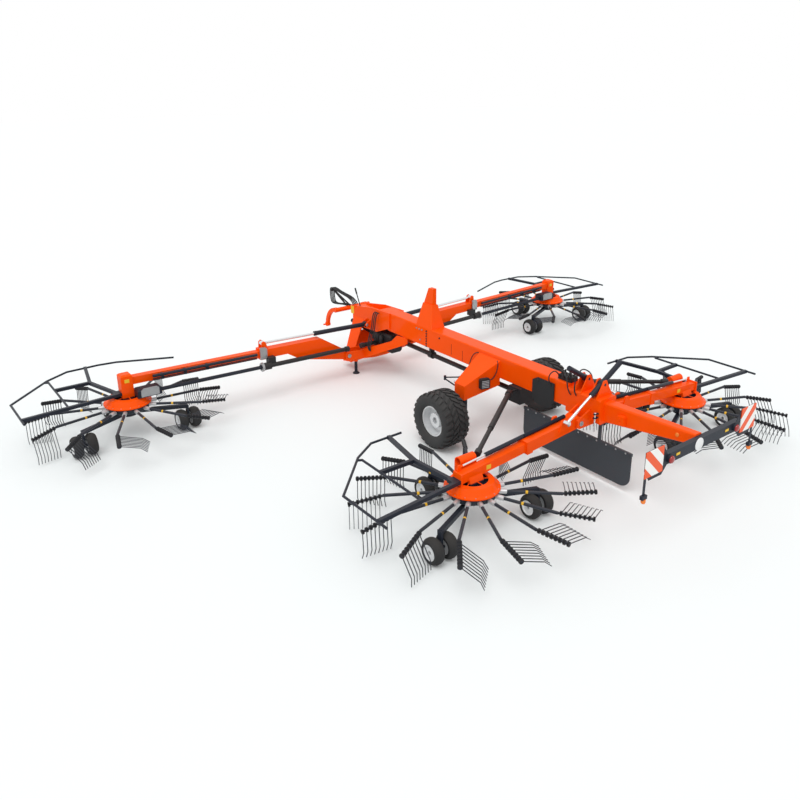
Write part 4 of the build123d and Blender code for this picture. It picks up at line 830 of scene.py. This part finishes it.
for side, sign in SIDES:
    turn(red, DOME, facing_frame((TAIL_FACE - 0.041, sign * 0.829, LAMP_Z), (-1, 0, 0)), 24)
    turn(amber, MARKER, facing_frame((TAIL_FACE, sign * 1.347, 0.93), (0, 0, -1)), 20)
    sheet_metal(yellow, rectangle(-0.045, -0.02, 0.045, 0.02), 0.006,
                facing_frame((TAIL_FACE, sign * 0.62, 1.4), (-1, 0, 0)), edge=0.002)
    on_boom = facing_frame((-4.75, sign * BOOM_SIDE, LAMP_Z), (0, sign, 0))
    turn(amber, DOME, on_boom @ Matrix.Scale(0.6, 4), 24)
turn(white, DISC, facing_frame((TAIL_FACE, 0.1, LAMP_Z), (-1, 0, 0)), 36)
fix("tail_lenses", red, lens_red, "chassis")
fix("marker_lenses", amber, lens_amber, "chassis")
fix("bar_reflectors", yellow, yellow_plate, "chassis")
fix("round_sign", white, white_disc, "chassis")


# Swath curtain: a flat sheet of reinforced rubber, cut to shape and left bare.
# It is bolted along its top to a steel rail, with a zinc-plated bolt on both faces.
curtain_rubber, *_ = finish("curtain_rubber", (0.045, 0.052, 0.062), roughness=0.55, dust=0.06,
                            variation=0.3, bump=0.25)
dress(curtain_rubber, "swath_curtain")
CURTAIN_BOLTS, CURTAIN_FROM, CURTAIN_STEP, CURTAIN_Z = 12, -3.85, 0.2, 0.705
CURTAIN_BOLT = ((0, 0), (0.016, 0), (0.016, 0.004), (0.01, 0.01), (0, 0.012))
bm = bmesh.new()
for k in range(CURTAIN_BOLTS):
    x = CURTAIN_FROM + k * CURTAIN_STEP
    for face, away in ((0.071, 1), (0.029, -1)):
        turn(bm, CURTAIN_BOLT, facing_frame((x, face, CURTAIN_Z), (0, away, 0)), 12)
fix("curtain_bolts", bm, zinc, "chassis")


# Hoses: rubber hydraulic hoses between unions on the frame, with crimped ends.
# Each hangs in its own loop, and both its ends are fixed.
def hose(name, points, radius, body):
    """Smooth hose through the route's points, riding on a body."""
    curve = bpy.data.curves.new(name, "CURVE")
    curve.dimensions = "3D"
    route = curve.splines.new("NURBS")
    route.points.add(len(points) - 1)
    for knot, point in zip(route.points, points):
        knot.co = (*point, 1)
    route.order_u = 3
    route.use_endpoint_u = True
    route.resolution_u = 8
    curve.bevel_depth = radius
    curve.bevel_resolution = 3
    curve.materials.append(black_rubber)
    made = bpy.data.objects.new(name, curve)
    bpy.context.collection.objects.link(made)
    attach(made, body)
    bare = curve.copy()
    bare.bevel_depth = 0
    line = bpy.data.objects.new(f"{name}_line", bare)
    track = bpy.data.meshes.new_from_object(line)
    bpy.data.objects.remove(line)
    bpy.data.curves.remove(bare)
    bpy.data.meshes.remove(track)


DECK_R, LEG_R, HEAD_R, HITCH_R = 0.011, 0.009, 0.012, 0.013
HOSES = (
    ("deck_hose_a", ((-2.86, 0.2, 1.42), (-2.86, 0.27, 1.5), (-2.84, 0.22, 1.7),
                     (-2.72, 0.14, 1.8), (-2.6, 0.16, 1.68), (-2.6, 0.1, 1.576)), DECK_R),
    ("deck_hose_b", ((-2.74, 0.2, 1.4), (-2.74, 0.28, 1.48), (-2.7, 0.28, 1.7),
                     (-2.56, 0.2, 1.78), (-2.5, 0.15, 1.66), (-2.5, 0.1, 1.576)), DECK_R),
    ("deck_hose_c", ((-2.3, 0.17, 1.44), (-2.28, 0.24, 1.46), (-2.28, 0.27, 1.62),
                     (-2.36, 0.22, 1.73), (-2.4, 0.15, 1.66), (-2.4, 0.1, 1.576)), DECK_R),
    ("deck_hose_d", ((-2.8, -0.2, 1.42), (-2.8, -0.27, 1.5), (-2.8, -0.24, 1.7),
                     (-2.68, -0.14, 1.78), (-2.6, -0.12, 1.66), (-2.6, -0.06, 1.576)), DECK_R),
    ("leg_hose_left", ((-0.38, 0.168, 1.47), (-0.36, 0.22, 1.49), (-0.28, 0.25, 1.4),
                       (-0.22, 0.27, 1.2), (-0.28, 0.36, 1.08), (-0.43, 0.46, 1.1)), LEG_R),
    ("lamp_hose_left", ((-0.9, 0.168, 1.45), (-0.92, 0.2, 1.48), (-0.99, 0.23, 1.42),
                        (-0.98, 0.28, 1.22), (-0.94, 0.36, 1.12), (-0.89, 0.44, 1.12)), LEG_R),
)
for name, points, radius in HOSES:
    hose(name, points, radius, "chassis")
for side, sign in SIDES:
    for k, x in enumerate((2.92, 2.98, 3.04)):
        foot = 2.99 + 0.03 * k
        route = ((x, 0.212, 1.47), (x, 0.25, 1.5), (x + 0.03, 0.29, 1.36), (x + 0.05, 0.3, 1.1),
                 (x + 0.12, 0.32, 0.92), (x + 0.05, 0.42, 0.74), (foot, 0.43, 0.64),
                 (foot, 0.408, 0.6))
        points = [(px, sign * py, pz) for px, py, pz in route]
        hose(f"head_hose_{side}_{k}", points, HEAD_R, "chassis")
for k, step in enumerate((-0.045, -0.015, 0.015, 0.045)):
    x, y, z = STAND_TOP[0] + STAND_LEAN * step, STAND_TOP[1] + step, STAND_TOP[2] + 0.045
    root = step * 1.3
    points = ((4.21, root, 1.355), (4.3, root, 1.47), (4.6, y - 0.1, z - 0.09),
              (x - 0.05, y, z + 0.01), (x + 0.06, y, z), (x + 0.06, y, z - 0.2),
              (x + 0.02, y, z - 0.36), (x - 0.1, y - 0.04, z - 0.38), (4.5, root + 0.08, 1.31),
              (4.4, root + 0.05, 1.295))
    hose(f"hitch_hose_{k}", points, HITCH_R, "hitch")


# Studio: a pale matt floor under a soft, even sky, with a broad, high sun from the camera's side.
# Floor and sky only light the rake, and are no part of it.
FLOOR, FLOOR_TONE, FLOOR_LIFT = 120.0, (0.785, 0.815, 0.815, 1), 0.05
WHITE = (1, 1, 1, 1)
mesh = bpy.data.meshes.new("studio_floor")
corners = [(x, y, 0) for x, y in rectangle(-FLOOR, -FLOOR, FLOOR, FLOOR)]
mesh.from_pydata(corners, [], [(0, 1, 2, 3)])
floor = bpy.data.objects.new("studio_floor", mesh)
bpy.context.collection.objects.link(floor)
floor_paint = bpy.data.materials.new("floor_paint")
floor_paint.use_nodes = True
tree = floor_paint.node_tree
matt = tree.nodes["Principled BSDF"]
matt.inputs["Base Color"].default_value = FLOOR_TONE
matt.inputs["Roughness"].default_value = 0.9
matt.inputs["Specular IOR Level"].default_value = 0.0
matt.inputs["Emission Color"].default_value = WHITE
seen = add(tree, "ShaderNodeLightPath").outputs["Is Camera Ray"]
lift = math_node(tree, "MULTIPLY", seen, FLOOR_LIFT)
tree.links.new(lift, matt.inputs["Emission Strength"])
mesh.materials.append(floor_paint)

SKY_LIGHT = 0.92
world = bpy.data.worlds.new("studio_sky")
bpy.context.scene.world = world
world.use_nodes = True
sky = world.node_tree
backdrop = sky.nodes["Background"]
rays = add(sky, "ShaderNodeLightPath")
through = math_node(sky, "MAXIMUM", rays.outputs["Is Glossy Ray"],
                    rays.outputs["Is Transmission Ray"])
seen = math_node(sky, "MAXIMUM", rays.outputs["Is Camera Ray"], through)
strength = math_node(sky, "ADD", SKY_LIGHT, math_node(sky, "MULTIPLY", seen, 1 - SKY_LIGHT))
sky.links.new(strength, backdrop.inputs["Strength"])
backdrop.inputs["Color"].default_value = WHITE

SUN_FROM, SUN_ANGLE = Vector((-0.25, 0.35, 0.9)), radians(35)
sun = bpy.data.lights.new("key_sun", "SUN")
sun.energy = 1.0
sun.angle = SUN_ANGLE
key = bpy.data.objects.new("key_sun", sun)
key.rotation_euler = SUN_FROM.to_track_quat("Z", "Y").to_euler()
bpy.context.collection.objects.link(key)
bpy.context.scene.view_settings.view_transform = "Standard"


# Camera: the photograph's place, height and lens, as its fit gave them.
# The fit's focal length and centre are in pixels of the 800 x 800 picture.
EYE = (-10.669, 9.522, 6.485)
YAW, PITCH = radians(-37.906), radians(-18.37)
FOCAL_PX, PRINCIPAL_X, PRINCIPAL_Y, IMAGE = 768.3, 423.7, 332.4, 800
camera = bpy.data.cameras.new("photo_camera")
camera.sensor_width = 36.0
camera.lens = FOCAL_PX / IMAGE * camera.sensor_width
camera.shift_x = (IMAGE / 2 - PRINCIPAL_X) / IMAGE
camera.shift_y = (PRINCIPAL_Y - IMAGE / 2) / IMAGE
camera.clip_end = 500
view = bpy.data.objects.new("photo_camera", camera)
view.location = EYE
aim = Vector((cos(PITCH) * cos(YAW), cos(PITCH) * sin(YAW), sin(PITCH)))
view.rotation_euler = aim.to_track_quat("-Z", "Y").to_euler()
bpy.context.collection.objects.link(view)
bpy.context.scene.camera = view
